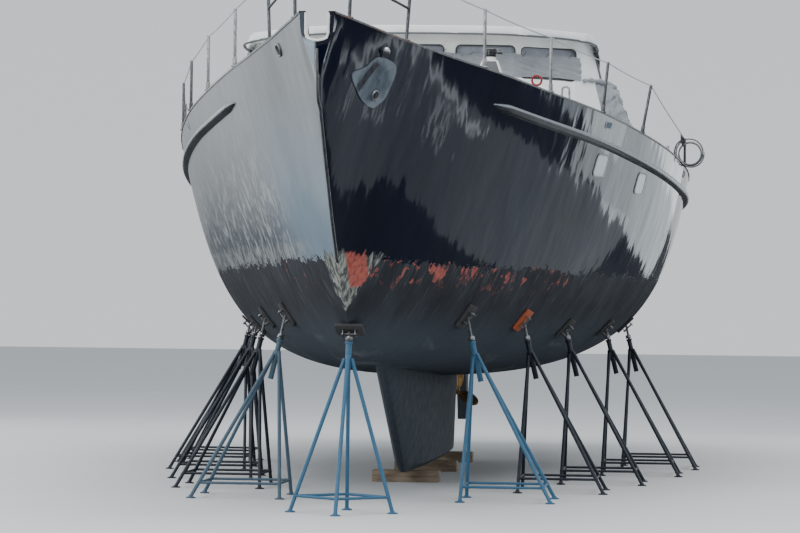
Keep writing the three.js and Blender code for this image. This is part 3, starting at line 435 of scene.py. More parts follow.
class Paint:
    """A material's node tree with a few words for the patterns that all of them use."""

    def __init__(self, name):
        self.material = bpy.data.materials.new(name)
        self.material.use_nodes = True
        self.tree = self.material.node_tree
        self.shader = self.tree.nodes["Principled BSDF"]
        self.place = self.node("ShaderNodeTexCoord").outputs["Object"]
        split = self.node("ShaderNodeSeparateXYZ", {"Vector": self.place})
        self.x, self.y, self.z = (split.outputs[k] for k in range(3))
        self.bumps = None

    def node(self, kind, inputs=None, **settings):
        made = self.tree.nodes.new(kind)
        for key, value in settings.items():
            setattr(made, key, value)
        for key, value in (inputs or {}).items():
            if isinstance(value, bpy.types.NodeSocket):
                self.tree.links.new(value, made.inputs[key])
            else:
                made.inputs[key].default_value = value
        return made

    def range(self, value, low, high, to_low=0.0, to_high=1.0):
        inputs = {
            "Value": value, "From Min": low, "From Max": high, "To Min": to_low, "To Max": to_high
        }
        return self.node(
            "ShaderNodeMapRange", inputs, interpolation_type="SMOOTHSTEP"
        ).outputs["Result"]

    def math(self, operation, *values):
        return self.node(
            "ShaderNodeMath", dict(enumerate(values)), operation=operation, use_clamp=False
        ).outputs[0]

    def noise(
        self, scale, low=0.35, high=0.65, stretch=(1, 1, 1), detail=5.0, rough=0.55, seed=0.0, warp=0.0
    ):
        moved = self.node(
            "ShaderNodeMapping", {
                "Vector": self.place, "Scale": stretch, "Location": (seed, seed * 0.7, seed * 1.3)
            }
        )
        inputs = {
            "Vector": moved.outputs[0], "Scale": scale, "Detail": detail, "Roughness": rough,
            "Distortion": warp,
        }
        return self.range(self.node("ShaderNodeTexNoise", inputs).outputs["Fac"], low, high)

    def wave(self, scale, stretch, distortion=2.0, direction="X"):
        moved = self.node("ShaderNodeMapping", {"Vector": self.place, "Scale": stretch})
        inputs = {"Vector": moved.outputs[0], "Scale": scale, "Distortion": distortion, "Detail": 2.0}
        return self.node("ShaderNodeTexWave", inputs, bands_direction=direction).outputs["Fac"]

    def mix(self, factor, a, b):
        made = self.node("ShaderNodeMix", data_type="RGBA")
        for key, value in ((0, factor), (6, a), (7, b)):
            if isinstance(value, bpy.types.NodeSocket):
                self.tree.links.new(value, made.inputs[key])
            else:
                made.inputs[key].default_value = (*value, 1.0) if key else value
        return made.outputs[2]

    def blend(self, factor, a, b):
        """a where the factor is 0, b where it is 1."""
        return self.node("ShaderNodeMix", {0: factor, 2: a, 3: b}, data_type="FLOAT").outputs[0]

    def all_of(self, *masks):
        """The product of the masks."""
        return functools.reduce(lambda a, b: self.math("MULTIPLY", a, b), masks)

    def bump(self, height, strength=0.3, distance=0.01):
        inputs = {"Height": height, "Strength": strength, "Distance": distance}
        if self.bumps is not None:
            inputs["Normal"] = self.bumps
        self.bumps = self.node("ShaderNodeBump", inputs).outputs["Normal"]

    def finish(self, color, roughness, **fixed):
        inputs = self.shader.inputs
        for key, value in (("Base Color", color), ("Roughness", roughness)):
            if isinstance(value, bpy.types.NodeSocket):
                self.tree.links.new(value, inputs[key])
            else:
                inputs[key].default_value = (*value, 1.0) if key == "Base Color" else value
        if self.bumps is not None:
            self.tree.links.new(self.bumps, inputs["Normal"])
        for key, value in fixed.items():
            socket = inputs[key.replace("_", " ").title().replace("Ior", "IOR")]
            if isinstance(value, bpy.types.NodeSocket):
                self.tree.links.new(value, socket)
            else:
                socket.default_value = value
        return self.material


def gloss_paint(p, settings):
    """Gloss enamel of the port side, a little uneven in depth. It mirrors the studio and its panels."""
    haze = p.noise(0.9, 0.25, 0.8, (1, 1, 0.35), seed=2)
    return p.mix(haze, settings.topsides, tuple(c * 1.8 + 0.001 for c in settings.topsides))


def dust_and_reflection_paint(p):
    """The starboard side: grey that is partly dust and partly a painted reflection of the sky, paler by the
    stem and on the nose as painted light, scratched pale low down away from the stem.
    """
    haze = p.noise(0.9, 0.25, 0.8, (1, 1, 0.35), seed=2)
    # Grey that is partly dust and partly a painted reflection of the sky.
    color = p.mix(haze, (0.045, 0.058, 0.070), (0.062, 0.078, 0.094))
    # Paler near the stem and further down: painted light.
    stem = p.all_of(p.range(p.x, 5.2, 6.9), p.range(p.z, 3.8, 2.4))
    color = p.mix(stem, color, (0.17, 0.235, 0.29))
    # Pale on the nose below the notch: painted light where the nose faces down into shade.
    nose_painted_light = p.all_of(p.range(p.x, 8.86, 8.92), p.range(p.z, 3.96, 3.9))
    color = p.mix(nose_painted_light, color, (0.34, 0.40, 0.45))
    scratch = p.noise(11, 0.52, 0.60, (1.0, 1.0, 0.32), 4, 0.6, seed=5)
    fine = p.noise(30, 0.55, 0.66, (1.0, 1.0, 0.15), 4, 0.6, seed=6)
    where = p.all_of(p.range(p.x, 6.6, 5.8), p.range(p.z, 3.4, 2.5, 0.1, 1.0))
    color = p.mix(
        p.math("MULTIPLY", where, p.math("MAXIMUM", scratch, fine)), color, (0.30, 0.32, 0.33)
    )
    edge = p.all_of(
        p.range(p.x, 7.2, 6.2), p.range(p.z, 2.42, 2.3), p.noise(16, 0.4, 0.6, (1, 1, 0.3), 4, seed=8)
    )
    return p.mix(p.math("MULTIPLY", edge, 0.7), color, (0.34, 0.35, 0.35))


def hull_paint(settings):
    """Gloss enamel over matt antifouling, with the wear of the hull in the photograph."""
    p = Paint("hull_paint")
    ragged = p.math(
        "ADD", p.noise(2.2, 0.3, 0.7, (1, 1, 2), seed=4), p.noise(14, 0.3, 0.7, (1, 1, 2), seed=9)
    )
    line = p.math("SUBTRACT", p.z, p.math("MULTIPLY", ragged, 0.07))
    line = p.math("SUBTRACT", line, p.range(p.y, -1.0, 1.5, 0.05, 0.03))
    below = p.range(line, 2.09, 2.10, 1.0, 0.0)
    port = p.range(p.y, 0.0, 0.03)
    starboard = p.all_of(p.range(p.y, 0.0, -0.03), p.range(p.x, -8.985, -8.95))
    topsides = p.mix(starboard, gloss_paint(p, settings), dust_and_reflection_paint(p))

    dull = p.mix(
        p.noise(3.0, 0.3, 0.75, (1, 1, 0.5), seed=7), settings.antifouling, (0.034, 0.040, 0.050)
    )
    # Paler low down on the bottom: painted light from below.
    dull = p.mix(p.range(p.z, 1.9, 1.4), dull, (0.05, 0.066, 0.085))
    strokes = p.noise(24, 0.52, 0.72, (1, 0.12, 0.12), 5, 0.6, seed=11)
    dull = p.mix(
        p.math("MULTIPLY", strokes, p.range(p.z, 1.6, 2.1, 0.25, 0.75)), dull, (0.085, 0.105, 0.12)
    )
    keel_side = p.all_of(
        p.range(p.z, 1.62, 1.5), p.noise(1.6, 0.56, 0.66, (0.5, 2, 2), 5, 0.6, seed=41)
    )
    dull = p.mix(p.math("MULTIPLY", keel_side, 0.5), dull, (0.13, 0.15, 0.17))
    near_line = p.range(line, 1.84, 2.02)
    reach = p.all_of(port, p.range(p.x, 0.6, 4.2, 0.0, 0.85), p.range(p.x, 6.95, 6.7))
    reach = p.math(
        "ADD", reach, p.all_of(starboard, p.range(p.x, 4.5, 5.5, 0.0, 0.35), p.range(p.x, 6.6, 6.2))
    )
    flecks = p.math(
        "ADD", p.math("MULTIPLY", reach, 0.26),
        p.noise(4.5, 0.2, 0.8, (1.3, 0.6, 1.4), 9, 0.68, seed=13),
    )
    red = p.all_of(p.range(flecks, 0.81, 0.87), near_line, p.range(reach, 0.05, 0.2), below)
    primer = p.mix(p.noise(20, seed=3), (0.26, 0.055, 0.045), (0.38, 0.11, 0.085))
    dull = p.mix(red, dull, primer)
    color = p.mix(below, topsides, dull)

    # Paint flaked from the stem in a V, wider to port, with a patch of red primer beside the bar
    edge_noise = p.math("SUBTRACT", p.noise(11, 0.2, 0.8, (1, 1, 0.35), 6, 0.6, seed=17), 0.5)
    slope = p.range(p.y, -0.02, 0.02, 0.40, 0.68)
    width = p.math("MULTIPLY", p.math("SUBTRACT", p.z, 1.78), slope)
    inside = p.math(
        "SUBTRACT", p.math("MULTIPLY_ADD", edge_noise, 0.11, width), p.math("ABSOLUTE", p.y)
    )
    top = p.math("MULTIPLY_ADD", edge_noise, 0.12, p.z)
    flaked = p.all_of(p.range(inside, 0.0, 0.012), p.range(top, 2.28, 2.24), p.range(p.x, 6.2, 6.35))
    grain = p.noise(30, 0.40, 0.60, (0.5, 1, 0.10), 4, 0.6, seed=19)
    bare = p.mix(grain, (0.28, 0.29, 0.255), (0.06, 0.07, 0.072))
    patch = p.all_of(
        p.range(p.y, 0.05, 0.065), p.range(p.y, 0.20, 0.185), p.range(p.z, 1.95, 2.0),
        p.noise(9, 0.26, 0.34, seed=43),
    )
    outer = p.all_of(p.range(p.y, 0.17, 0.22), p.noise(34, 0.45, 0.55, (0.5, 1, 0.15), 4, 0.6, seed=49))
    bare = p.mix(outer, p.mix(patch, bare, primer), dull)
    color = p.mix(flaked, color, bare)

    rough = p.blend(below, p.blend(starboard, 0.07, 0.3), 0.75)
    roughness = p.math("ADD", rough, p.math("MULTIPLY", flaked, 0.2))
    p.bump(p.noise(0.55, 0.0, 1.0, (1, 1, 0.6), 3, 0.5, seed=23), 0.5, 0.05)
    p.bump(p.noise(3.5, 0.0, 1.0, (1, 1, 0.5), 2, 0.5, seed=29), 0.35, 0.012)
    p.bump(p.math("SUBTRACT", p.math("MULTIPLY", below, p.noise(60, 0.3, 0.7)), flaked), 0.4, 0.003)
    return p.finish(color, roughness, specular_ior_level=0.22)


def plate_paint():
    """Scuffed grey steel of the anchor's plate, with a painted highlight at its edges and a dark run across
    it.
    """
    p = Paint("anchor_plate_paint")
    tone = p.mix(p.noise(7, 0.3, 0.7), (0.045, 0.065, 0.09), (0.11, 0.145, 0.18))
    a = p.math("MULTIPLY", p.math("SUBTRACT", p.x, 7.95), 3.0)
    b = p.math("MULTIPLY", p.math("SUBTRACT", p.z, 3.66), 5.4)
    reach = p.math("SQRT", p.math("ADD", p.math("MULTIPLY", a, a), p.math("MULTIPLY", b, b)))
    reach = p.math("MULTIPLY_ADD", p.noise(9, 0.2, 0.8, seed=4), 0.3, reach)
    # Pale towards the edges: painted highlight.
    tone = p.mix(p.range(reach, 0.9, 1.2), tone, (0.17, 0.205, 0.24))
    across = p.math("MULTIPLY_ADD", p.x, 0.738, p.math("MULTIPLY_ADD", p.z, 0.674, -8.478))
    run = p.all_of(p.range(p.math("ABSOLUTE", across), 0.055, 0.035), p.range(reach, 1.1, 0.9))
    tone = p.mix(run, tone, (0.012, 0.016, 0.03))
    p.bump(p.noise(30, 0.2, 0.8, (1, 1, 0.4)), 0.25, 0.002)
    return p.finish(tone, p.blend(p.noise(12, seed=7), 0.35, 0.6), metallic=0.3)


def coated(
    name, color, roughness=0.4, worn=(0.3, 0.3, 0.3), grime=0.2, scale=3.0, bump=0.12, chips=0.0
):
    """A painted surface with uneven tone, grime streaks, chips of a given amount and a fine orange-peel."""
    p = Paint(name)
    tone = p.mix(p.noise(scale, 0.25, 0.8), color, tuple(c * 0.88 for c in color))
    streak = p.noise(scale * 5, 0.55, 0.8, (1, 1, 0.15), seed=3)
    tone = p.mix(p.math("MULTIPLY", streak, grime), tone, tuple(c * 0.45 + 0.01 for c in color))
    chipped = p.math("MULTIPLY", p.noise(scale * 5, 0.66, 0.7, detail=8.0, seed=6), chips)
    tone = p.mix(chipped, tone, worn)
    p.bump(p.noise(160, 0.2, 0.8), bump, 0.001)
    p.bump(p.noise(scale * 2, 0.2, 0.8, seed=8), bump, 0.004)
    return p.finish(
        tone, p.blend(p.noise(scale * 3, 0.2, 0.8, seed=5), roughness * 0.8, min(1.0, roughness * 1.25))
    )


def metal(name, color, roughness=0.25, tarnish=(0.2, 0.17, 0.14), amount=0.35):
    """Bare metal, spotted with tarnish."""
    p = Paint(name)
    spots = p.math("MULTIPLY", p.noise(18, 0.5, 0.75, seed=2), amount)
    tone = p.mix(spots, p.mix(p.noise(4), color, tuple(c * 0.78 for c in color)), tarnish)
    p.bump(p.noise(220, 0.2, 0.8, (1, 1, 0.2)), 0.08, 0.001)
    return p.finish(
        tone, p.blend(p.noise(30, seed=7), roughness * 0.7, min(1.0, roughness * 1.7)), metallic=1.0
    )


def timber(name, pale, dark, stretch=(1, 12, 12), scale=3.0, roughness=0.75):
    """Weathered wood with its grain along the axis that is stretched least."""
    p = Paint(name)
    grain = p.noise(scale * 6, 0.3, 0.7, stretch, 8, 0.65, warp=0.6)
    rings = p.wave(scale * 1.2, tuple(s / 4 for s in stretch), 6.0, "Y")
    tone = p.mix(p.math("MULTIPLY", p.math("ADD", grain, rings), 0.5), pale, dark)
    tone = p.mix(
        p.math("MULTIPLY", p.noise(2.5, 0.5, 0.8, seed=5), 0.4), tone, tuple(c * 0.4 for c in dark)
    )
    p.bump(grain, 0.4, 0.002)
    return p.finish(tone, p.blend(grain, roughness * 0.85, roughness))


def fabric(name, color, roughness=0.9, thread=900.0):
    """Woven cloth, dirty in patches."""
    p = Paint(name)
    warp = p.wave(thread / 6.0, (1, 1, 1), 0.3, "Z")
    weft = p.wave(thread / 6.0, (1, 1, 1), 0.3, "Y")
    tone = p.mix(p.noise(3.0, 0.25, 0.8), color, tuple(c * 0.72 for c in color))
    tone = p.mix(
        p.math("MULTIPLY", p.noise(9, 0.55, 0.75, (1, 1, 0.4), seed=4), 0.5), tone, (0.12, 0.12, 0.12)
    )
    p.bump(p.math("MULTIPLY", warp, weft), 0.25, 0.001)
    p.bump(p.noise(25, 0.2, 0.8), 0.3, 0.004)
    return p.finish(tone, roughness, sheen_weight=0.2)


def glass(name, color, clear=0.35, roughness=0.06):
    """Tinted or misted glass with dust on it."""
    p = Paint(name)
    dust = p.noise(5, 0.45, 0.8, seed=3)
    tone = p.mix(p.math("MULTIPLY", dust, 0.4), color, tuple(min(1.0, c * 1.8 + 0.05) for c in color))
    p.bump(p.noise(1.8, 0.2, 0.8), 0.06, 0.004)
    return p.finish(tone, p.blend(dust, roughness, roughness * 3), transmission_weight=clear, ior=1.45)


def deck_paint(settings):
    """Matt non-slip paint with fine grit, foot-worn patches and dirt by the edges."""
    p = Paint("deck_paint")
    tone = p.mix(p.noise(1.4, 0.3, 0.75), settings.deck, tuple(c * 0.8 for c in settings.deck))
    tone = p.mix(p.math("MULTIPLY", p.noise(6, 0.55, 0.8, seed=3), 0.5), tone, (0.18, 0.17, 0.15))
    grit = p.noise(280, 0.35, 0.65)
    p.bump(grit, 0.5, 0.002)
    return p.finish(tone, p.blend(grit, 0.72, 0.95))


def cap_paint():
    """Black enamel on the bulwark's top, rubbed to reddish primer forward on the port side."""
    p = Paint("bulwark_cap_paint")
    rubbed = p.all_of(
        p.range(p.x, 6.2, 8.2), p.range(p.y, 0.0, 0.15),
        p.noise(9, 0.5, 0.6, (0.5, 1, 1), 7, 0.65, seed=2),
    )
    tone = p.mix(p.noise(2.5), (0.012, 0.014, 0.018), (0.04, 0.045, 0.055))
    tone = p.mix(p.math("MULTIPLY", p.noise(14, 0.5, 0.75, seed=4), 0.5), tone, (0.22, 0.23, 0.24))
    tone = p.mix(
        p.math("MULTIPLY", rubbed, 0.7), tone,
        p.mix(p.noise(25, seed=8), (0.12, 0.05, 0.035), (0.20, 0.12, 0.09)),
    )
    p.bump(rubbed, 0.3, 0.001)
    return p.finish(tone, p.blend(rubbed, 0.3, 0.8))


def strake_paint():
    """Black enamel on the rubbing strakes, with a pale upper edge that is partly wear and partly a painted
    highlight, paler to starboard.
    """
    p = Paint("strake_paint")
    tone = p.mix(p.noise(1.6), (0.010, 0.012, 0.016), (0.03, 0.034, 0.042))
    normal = p.node(
        "ShaderNodeSeparateXYZ", {"Vector": p.node("ShaderNodeNewGeometry").outputs["Normal"]}
    ).outputs[2]
    # Pale on the faces that look up: partly wear, partly a painted highlight; paler to starboard.
    worn = p.math(
        "MULTIPLY", p.range(normal, -0.15, 0.3), p.noise(5, 0.1, 0.5, (0.4, 1, 1), 6, 0.6, seed=3)
    )
    tone = p.mix(worn, tone, p.mix(p.range(p.y, -0.1, 0.1), (0.30, 0.32, 0.34), (0.24, 0.27, 0.30)))
    p.bump(p.noise(90, 0.3, 0.7), 0.15, 0.001)
    return p.finish(tone, p.blend(worn, 0.22, 0.5))


@functools.lru_cache(maxsize=None)
def paints():
    """Every material by name."""
    colors = bpy.context.scene.yacht_colors
    return {
        "hull": hull_paint(colors),
        "deck": deck_paint(colors),
        "white": coated("white_enamel", tuple(colors.deckhouse), 0.38, grime=0.08),
        "white_trim": coated("white_trim", (0.80, 0.80, 0.77), 0.3, (0.5, 0.48, 0.42), 0.15, chips=0.3),
        # Dark grey of the ventilator box, also used as painted shade in the strips under the roof's edge
        # and down the deckhouse corners.
        "grey_and_painted_shade": coated("grey_and_painted_shade", (0.10, 0.11, 0.115), 0.55, grime=0.3),
        "seal": coated("window_seal", (0.045, 0.05, 0.055), 0.6),
        "black_enamel": coated("black_enamel", (0.014, 0.016, 0.02), 0.18, grime=0.15, scale=2.0),
        "primer_black": cap_paint(),
        "strake": strake_paint(),
        "antifouling": coated(
            "antifouling", (0.045, 0.060, 0.078), 0.8, (0.10, 0.12, 0.13), 0.4, 3.0, 0.4, 0.6
        ),
        "steel": metal("stainless_steel", (0.62, 0.63, 0.65), 0.24),
        "dark_steel": metal("weathered_steel", (0.16, 0.17, 0.18), 0.45, (0.12, 0.07, 0.04), 0.5),
        "worn_steel": metal("worn_steel", (0.42, 0.43, 0.44), 0.42, (0.18, 0.13, 0.09), 0.6),
        "plate_steel": plate_paint(),
        "bright_rim": coated("bright_rim", (0.82, 0.83, 0.82), 0.25, grime=0.1),
        "bronze": metal("aged_bronze", (0.36, 0.22, 0.09), 0.38, (0.08, 0.14, 0.09), 0.6),
        "glass": glass("tinted_glass", (0.34, 0.36, 0.41), 0.05, 0.12),
        "port_glass": glass("portlight_glass", (0.36, 0.41, 0.45), 0.0, 0.1),
        "smoked": glass("smoked_acrylic", (0.02, 0.022, 0.025), 0.1, 0.1),
        "canvas": fabric("grey_canvas", tuple(colors.canvas)),
        "lacing": fabric("lacing_cord", (0.03, 0.03, 0.035), 0.85, 2000.0),
        "rope_red": fabric("red_rope", (0.42, 0.035, 0.03), 0.85, 2400.0),
        "cable": coated("cable_sleeve", (0.13, 0.14, 0.14), 0.6, grime=0.3, scale=9.0),
        # Black that stands in for the shade inside openings: painted shade.
        "rubber": coated("black_rubber", (0.018, 0.018, 0.02), 0.7, scale=8.0),
        "teak": timber("silvered_teak", (0.36, 0.27, 0.18), (0.22, 0.15, 0.09), (1, 14, 14)),
        "baulk": timber("sawn_timber", (0.34, 0.27, 0.19), (0.16, 0.11, 0.07), (10, 1, 10)),
        "lining": coated("cabin_lining", (0.62, 0.60, 0.55), 0.6, grime=0.1),
        "stand_blue": coated(
            "chipped_blue_paint", tuple(colors.stand_blue), 0.5, (0.10, 0.06, 0.045), 0.3, 9.0, 0.3, 0.8
        ),
        "stand_grey": coated(
            "chipped_grey_paint", (0.06, 0.11, 0.155), 0.5, (0.10, 0.06, 0.045), 0.3, 9.0, 0.3, 0.8
        ),
        "stand_black": coated(
            "chipped_black_paint", (0.012, 0.018, 0.030), 0.5, (0.09, 0.05, 0.035), 0.3, 9.0, 0.3, 0.6
        ),
        "pad_orange": coated(
            "orange_pad_paint", tuple(colors.pad_orange), 0.6, (0.10, 0.06, 0.045), 0.4, 9.0, 0.3, 0.9
        ),
        "pad_grey": coated(
            "grey_pad_paint", (0.05, 0.048, 0.05), 0.75, (0.24, 0.20, 0.15), 0.5, 9.0, 0.3, 0.8
        ),
        "lifeline": coated("lifeline_sleeve", (0.40, 0.42, 0.43), 0.5, grime=0.3),
        "galvanised": metal("galvanised_steel", (0.38, 0.39, 0.40), 0.5, (0.22, 0.12, 0.06), 0.5),
    }


# Hull


def notch_floor(y):
    """Height of the stem notch's edge at y."""
    s = min(1.0, abs(y) / NOTCH_HALF)
    return lerp(NOTCH_BOTTOM + 0.0275, NOTCH_SHOULDER, s * s)


def build_hull_shell():
    """The hull's skin from bow to raked transom, with the white lining of its bulwark."""
    shape = Shape()

    def skin(u, v):
        x = HALF_LENGTH * (1 - 2 * u)
        y, z = section(x, v)
        return x, y if v > 0 else 0.0, z

    shape.grid(260, 56, skin)
    shape.mirror()
    rake = TRANSOM_FOOT - TRANSOM_TOP
    shape.bm.normal_update()
    geometry = [*shape.bm.verts, *shape.bm.edges, *shape.bm.faces]
    aft = Vector((rake.z, 0, -rake.x)).normalized()
    cut = bmesh.ops.bisect_plane(
        shape.bm, geom=geometry, dist=1e-6, plane_co=TRANSOM_TOP, plane_no=aft, clear_outer=True
    )["geom_cut"]
    edge = [item for item in cut if isinstance(item, bmesh.types.BMEdge)]
    ends = sorted({v for e in edge for v in e.verts}, key=lambda v: v.co.y)
    tops = [ends[0], ends[-1]]
    closing = shape.bm.edges.new(tops)
    bmesh.ops.contextual_create(shape.bm, geom=[*edge, closing])

    bow = [v for v in shape.bm.verts if v.co.x > HALF_LENGTH - 1e-5]
    bow.sort(key=lambda v: (v.co.y, -v.co.z if v.co.y < 0 else v.co.z))
    rim = NOTCH_HALF + 0.018
    notch = [(rim * (1 - 2 * k / 12)) for k in range(13)]
    upper = [shape.bm.verts.new((HALF_LENGTH, y, max(notch_floor(y), 3.885))) for y in notch]
    port_top = shape.bm.verts.new((HALF_LENGTH, rim, sheer_height(HALF_LENGTH)))
    starboard_top = shape.bm.verts.new((HALF_LENGTH, -rim, sheer_height(HALF_LENGTH)))
    shape.bm.faces.new([*bow, port_top, *upper, starboard_top])

    shape.use(1)
    for side in (1, -1):

        def lining(u, v, side=side):
            x = lerp(WELL_BOW, WELL_STERN, u)
            low = half_at(x, deck_height(x)) - BULWARK_WALL
            high = sheer_half(x) - BULWARK_WALL
            return x, side * lerp(low, high, v), lerp(deck_height(x) - 0.01, sheer_height(x), v)

        shape.grid(220, 4, lining)

    def transom_lining(u, v):
        x = WELL_STERN
        half = lerp(half_at(x, deck_height(x)), sheer_half(x), v) - BULWARK_WALL
        return x, lerp(-half, half, u), lerp(deck_height(x) - 0.01, sheer_height(x), v)

    shape.grid(20, 4, transom_lining)

    def bow_lining(u, v):
        half = lerp(half_at(WELL_BOW, deck_height(WELL_BOW)), sheer_half(WELL_BOW), v) - BULWARK_WALL
        y = lerp(-half, half, u)
        top = sheer_height(WELL_BOW) if abs(y) > NOTCH_HALF else notch_floor(y)
        return WELL_BOW, y, lerp(deck_height(WELL_BOW) - 0.02, top, v)

    shape.grid(40, 4, bow_lining)
    nodes = ("bottom", "topsides", "bulwark_port", "bulwark_starboard", "bulwark_transom")
    m = paints()
    made = shape.finish(
        "hull_shell", [m["hull"], m["white_trim"]], replaces=nodes, smooth=40, outward=False
    )
    bm = bmesh.new()
    bm.from_mesh(made.data)
    bm.normal_update()
    flip = []
    for face in bm.faces:
        c, n = face.calc_center_median(), face.normal
        if face.material_index:
            inward = Vector((0, -c.y, 0)) if abs(abs(n.x) - 1) > 0.3 else Vector((-c.x, 0, 0))
            wrong = n.dot(inward) < 0
        elif c.x > HALF_LENGTH - 1e-3:
            wrong = n.x < 0
        elif len(face.verts) > 8:
            wrong = n.x > 0
        else:
            wrong = n.dot(Vector((0.2 * max(c.x, 0), c.y, min(c.z - 2.6, 0)))) < 0
        if wrong:
            flip.append(face)
    bmesh.ops.reverse_faces(bm, faces=flip)
    bm.to_mesh(made.data)
    bm.free()


def build_bulwark_cap():
    """A worn rail along the top of the bulwark, joined across the transom."""
    shape = Shape()
    top = 0.007

    def strip(side):
        def place(u, v):
            x = lerp(HALF_LENGTH - 0.002, -HALF_LENGTH + 0.004, u)
            outer = sheer_half(x) + 0.006
            inner = sheer_half(x) - BULWARK_WALL - 0.006
            if x > WELL_BOW:
                inner = NOTCH_HALF + 0.002
            corners = (
                (outer, -0.012), (outer, 0.004), (outer - 0.003, top), (inner + 0.003, top),
                (inner, 0.004),
            )
            corners = (*corners, (inner, -0.012))
            y, z = corners[round(v * 5)]
            return x, side * y, sheer_height(x) + z

        return place

    for side in (1, -1):
        shape.grid(300, 5, strip(side))
    half = sheer_half(WELL_STERN) - BULWARK_WALL + 0.01
    height = sheer_height(-9.0)
    shape.block((-8.996, -half, height - 0.012), (WELL_STERN + 0.006, half, height + top), 0.003)
    shape.finish("bulwark_cap", paints()["primer_black"], smooth=50)


def build_strakes():
    """Half-round rubbing strakes along the deck's edge, tapered at both ends."""
    shape = Shape()
    turns = 14

    for side in (1, -1):

        def place(u, v, side=side):
            s = u * u * (3 - 2 * u) if u < 0.02 else u
            x = lerp(STRAKE_BOW, STRAKE_STERN, s)
            size = min(1.0, math.sqrt(max(0.0, STRAKE_BOW - x) / 0.15) * 0.97 + 0.03)
            size = min(size, math.sqrt(max(0.0, x - STRAKE_STERN) / 0.06) * 0.9 + 0.1)
            angle = math.pi * (0.5 - (v * turns - 1) / (turns - 2))
            if v * turns < 0.5 or v * turns > turns - 0.5:
                end = 1 if v < 0.5 else -1
                z = deck_height(x) + end * STRAKE_HALF * size
                return x, side * (half_at(x, z) - 0.02), z
            z = deck_height(x) + STRAKE_HALF * size * math.sin(angle)
            return x, side * (half_at(x, z) + 0.002 + STRAKE_PROUD * size * math.cos(angle)), z

        shape.grid(320, turns, place)
    shape.finish(
        "rubbing_strakes", paints()["strake"],
        replaces=("rubbing_strake_port", "rubbing_strake_starboard"),
    )


def stem_point(z):
    """x of the stem at height z."""
    low, high = 6.5, 8.99
    for _ in range(30):
        middle = (low + high) / 2
        if keel_line(middle) < z:
            low = middle
        else:
            high = middle
    return high


def notch_path(x, grow):
    """Points of the notch's U at x, from the port top round to the starboard top, moved outward."""
    half = NOTCH_HALF + grow
    port = [(x, half, 4.133), (x, half, NOTCH_SHOULDER + 0.03)]
    around = [
        (x, half * (1 - k / 8), notch_floor(NOTCH_HALF * (1 - k / 8)) - grow) for k in range(1, 16)
    ]
    starboard = [(x, -y, z) for x, y, z in reversed(port)]
    return [Vector(p) for p in (*port, *around, *starboard)]


def build_stem_fitting():
    """The bright liner of the stem notch, with the rolled lip round its front edge."""
    shape = Shape()
    inner = notch_path(0.0, -0.006)

    def liner(u, v):
        point = inner[round(u * (len(inner) - 1))].copy()
        point.x = lerp(8.885, 8.999, v)
        return point

    shape.grid(len(inner) - 1, 3, liner)
    bmesh.ops.solidify(shape.bm, geom=list(shape.bm.faces), thickness=0.004)
    shape.use(1)
    shape.tube(notch_path(9.001, 0.004), 0.0095, 10)
    shape.finish(
        "stem_liner", [paints()["white_trim"], paints()["bright_rim"]], replaces=("stem_fitting",)
    )


def build_stem_bar():
    """The worn bar down the stem."""
    shape = Shape()
    path = [Vector((stem_point(z), 0, z)) for z in (3.85 - 1.67 * k / 40 for k in range(41))]
    profile = (
        (-0.012, -0.006), (0.012, -0.006), (0.012, 0.006), (0.006, 0.0125), (-0.006, 0.0125),
        (-0.012, 0.006),
    )
    shape.sweep(path, profile, up=(1, 0, 0.02))
    shape.finish("stem_bar_worn", paints()["worn_steel"], replaces=("stem_bar",))


ANCHOR_PLATE = (
    (7.99, 3.864), (7.63, 3.81), (7.63, 3.572), (7.72, 3.491), (7.81, 3.457),
    (8.02, 3.495), (8.20, 3.572), (8.38, 3.693), (8.17, 3.768),
)


def build_anchor_plate():
    """The worn plate where the anchor stows, with its keyhole and the dome above it."""
    shape = Shape()
    edge = smooth_path([(x, 0, z) for x, z in ANCHOR_PLATE], 5, closed=True)
    centre = Vector((7.94, 0, 3.66))
    count = len(edge)

    def place(u, v):
        rim = edge[round(u * count) % count]
        point = centre.lerp(rim, min(v / 0.9, 1.0))
        lift = 0.009 if v < 0.95 else 0.0
        return on_hull(point.x, point.z, 1, lift)

    shape.grid(count, 10, place)
    shape.use(1)
    matrix = hull_frame(7.842, 3.555, 1, 0.009)
    # The keyhole is a black plate: painted shade for the slot's dark inside.
    hole = [(-0.018, -0.02), (0.018, -0.02), (0.014, 0.018), (-0.014, 0.018)]
    shape.plate(hole, 0.003, matrix, 0.0)
    shape.use(2)
    ring = [
        (0.055 * math.cos(a), 0.045 * math.sin(a))
        for a in (math.radians(15 * k - 60) for k in range(21))
    ]
    shape.tube([matrix @ Vector((u, v, 0.003)) for u, v in ring], 0.008, 8)
    m = paints()
    shape.finish(
        "anchor_plate_worn", [m["plate_steel"], m["rubber"], m["worn_steel"]],
        replaces=("anchor_plate",),
    )
    dome = Shape()
    matrix = hull_frame(7.93, 3.921, 1, 0.0)
    dome.turned(
        [(0.064, -0.006), (0.064, 0.003), (0.06, 0.007), (0.045, 0.008), (0.0, 0.008)], matrix, 28
    )
    dome.use(1)
    ball = [
        (0.040 * math.cos(a), 0.006 + 0.046 * math.sin(a))
        for a in (math.pi / 2 * k / 8 for k in range(9))
    ]
    dome.turned([(0.042, 0.0), *ball[:-1], (0.0, 0.052)], matrix, 28)
    dome.finish("hawse_dome", [m["dark_steel"], m["steel"]], replaces=("hawse_pipe",))


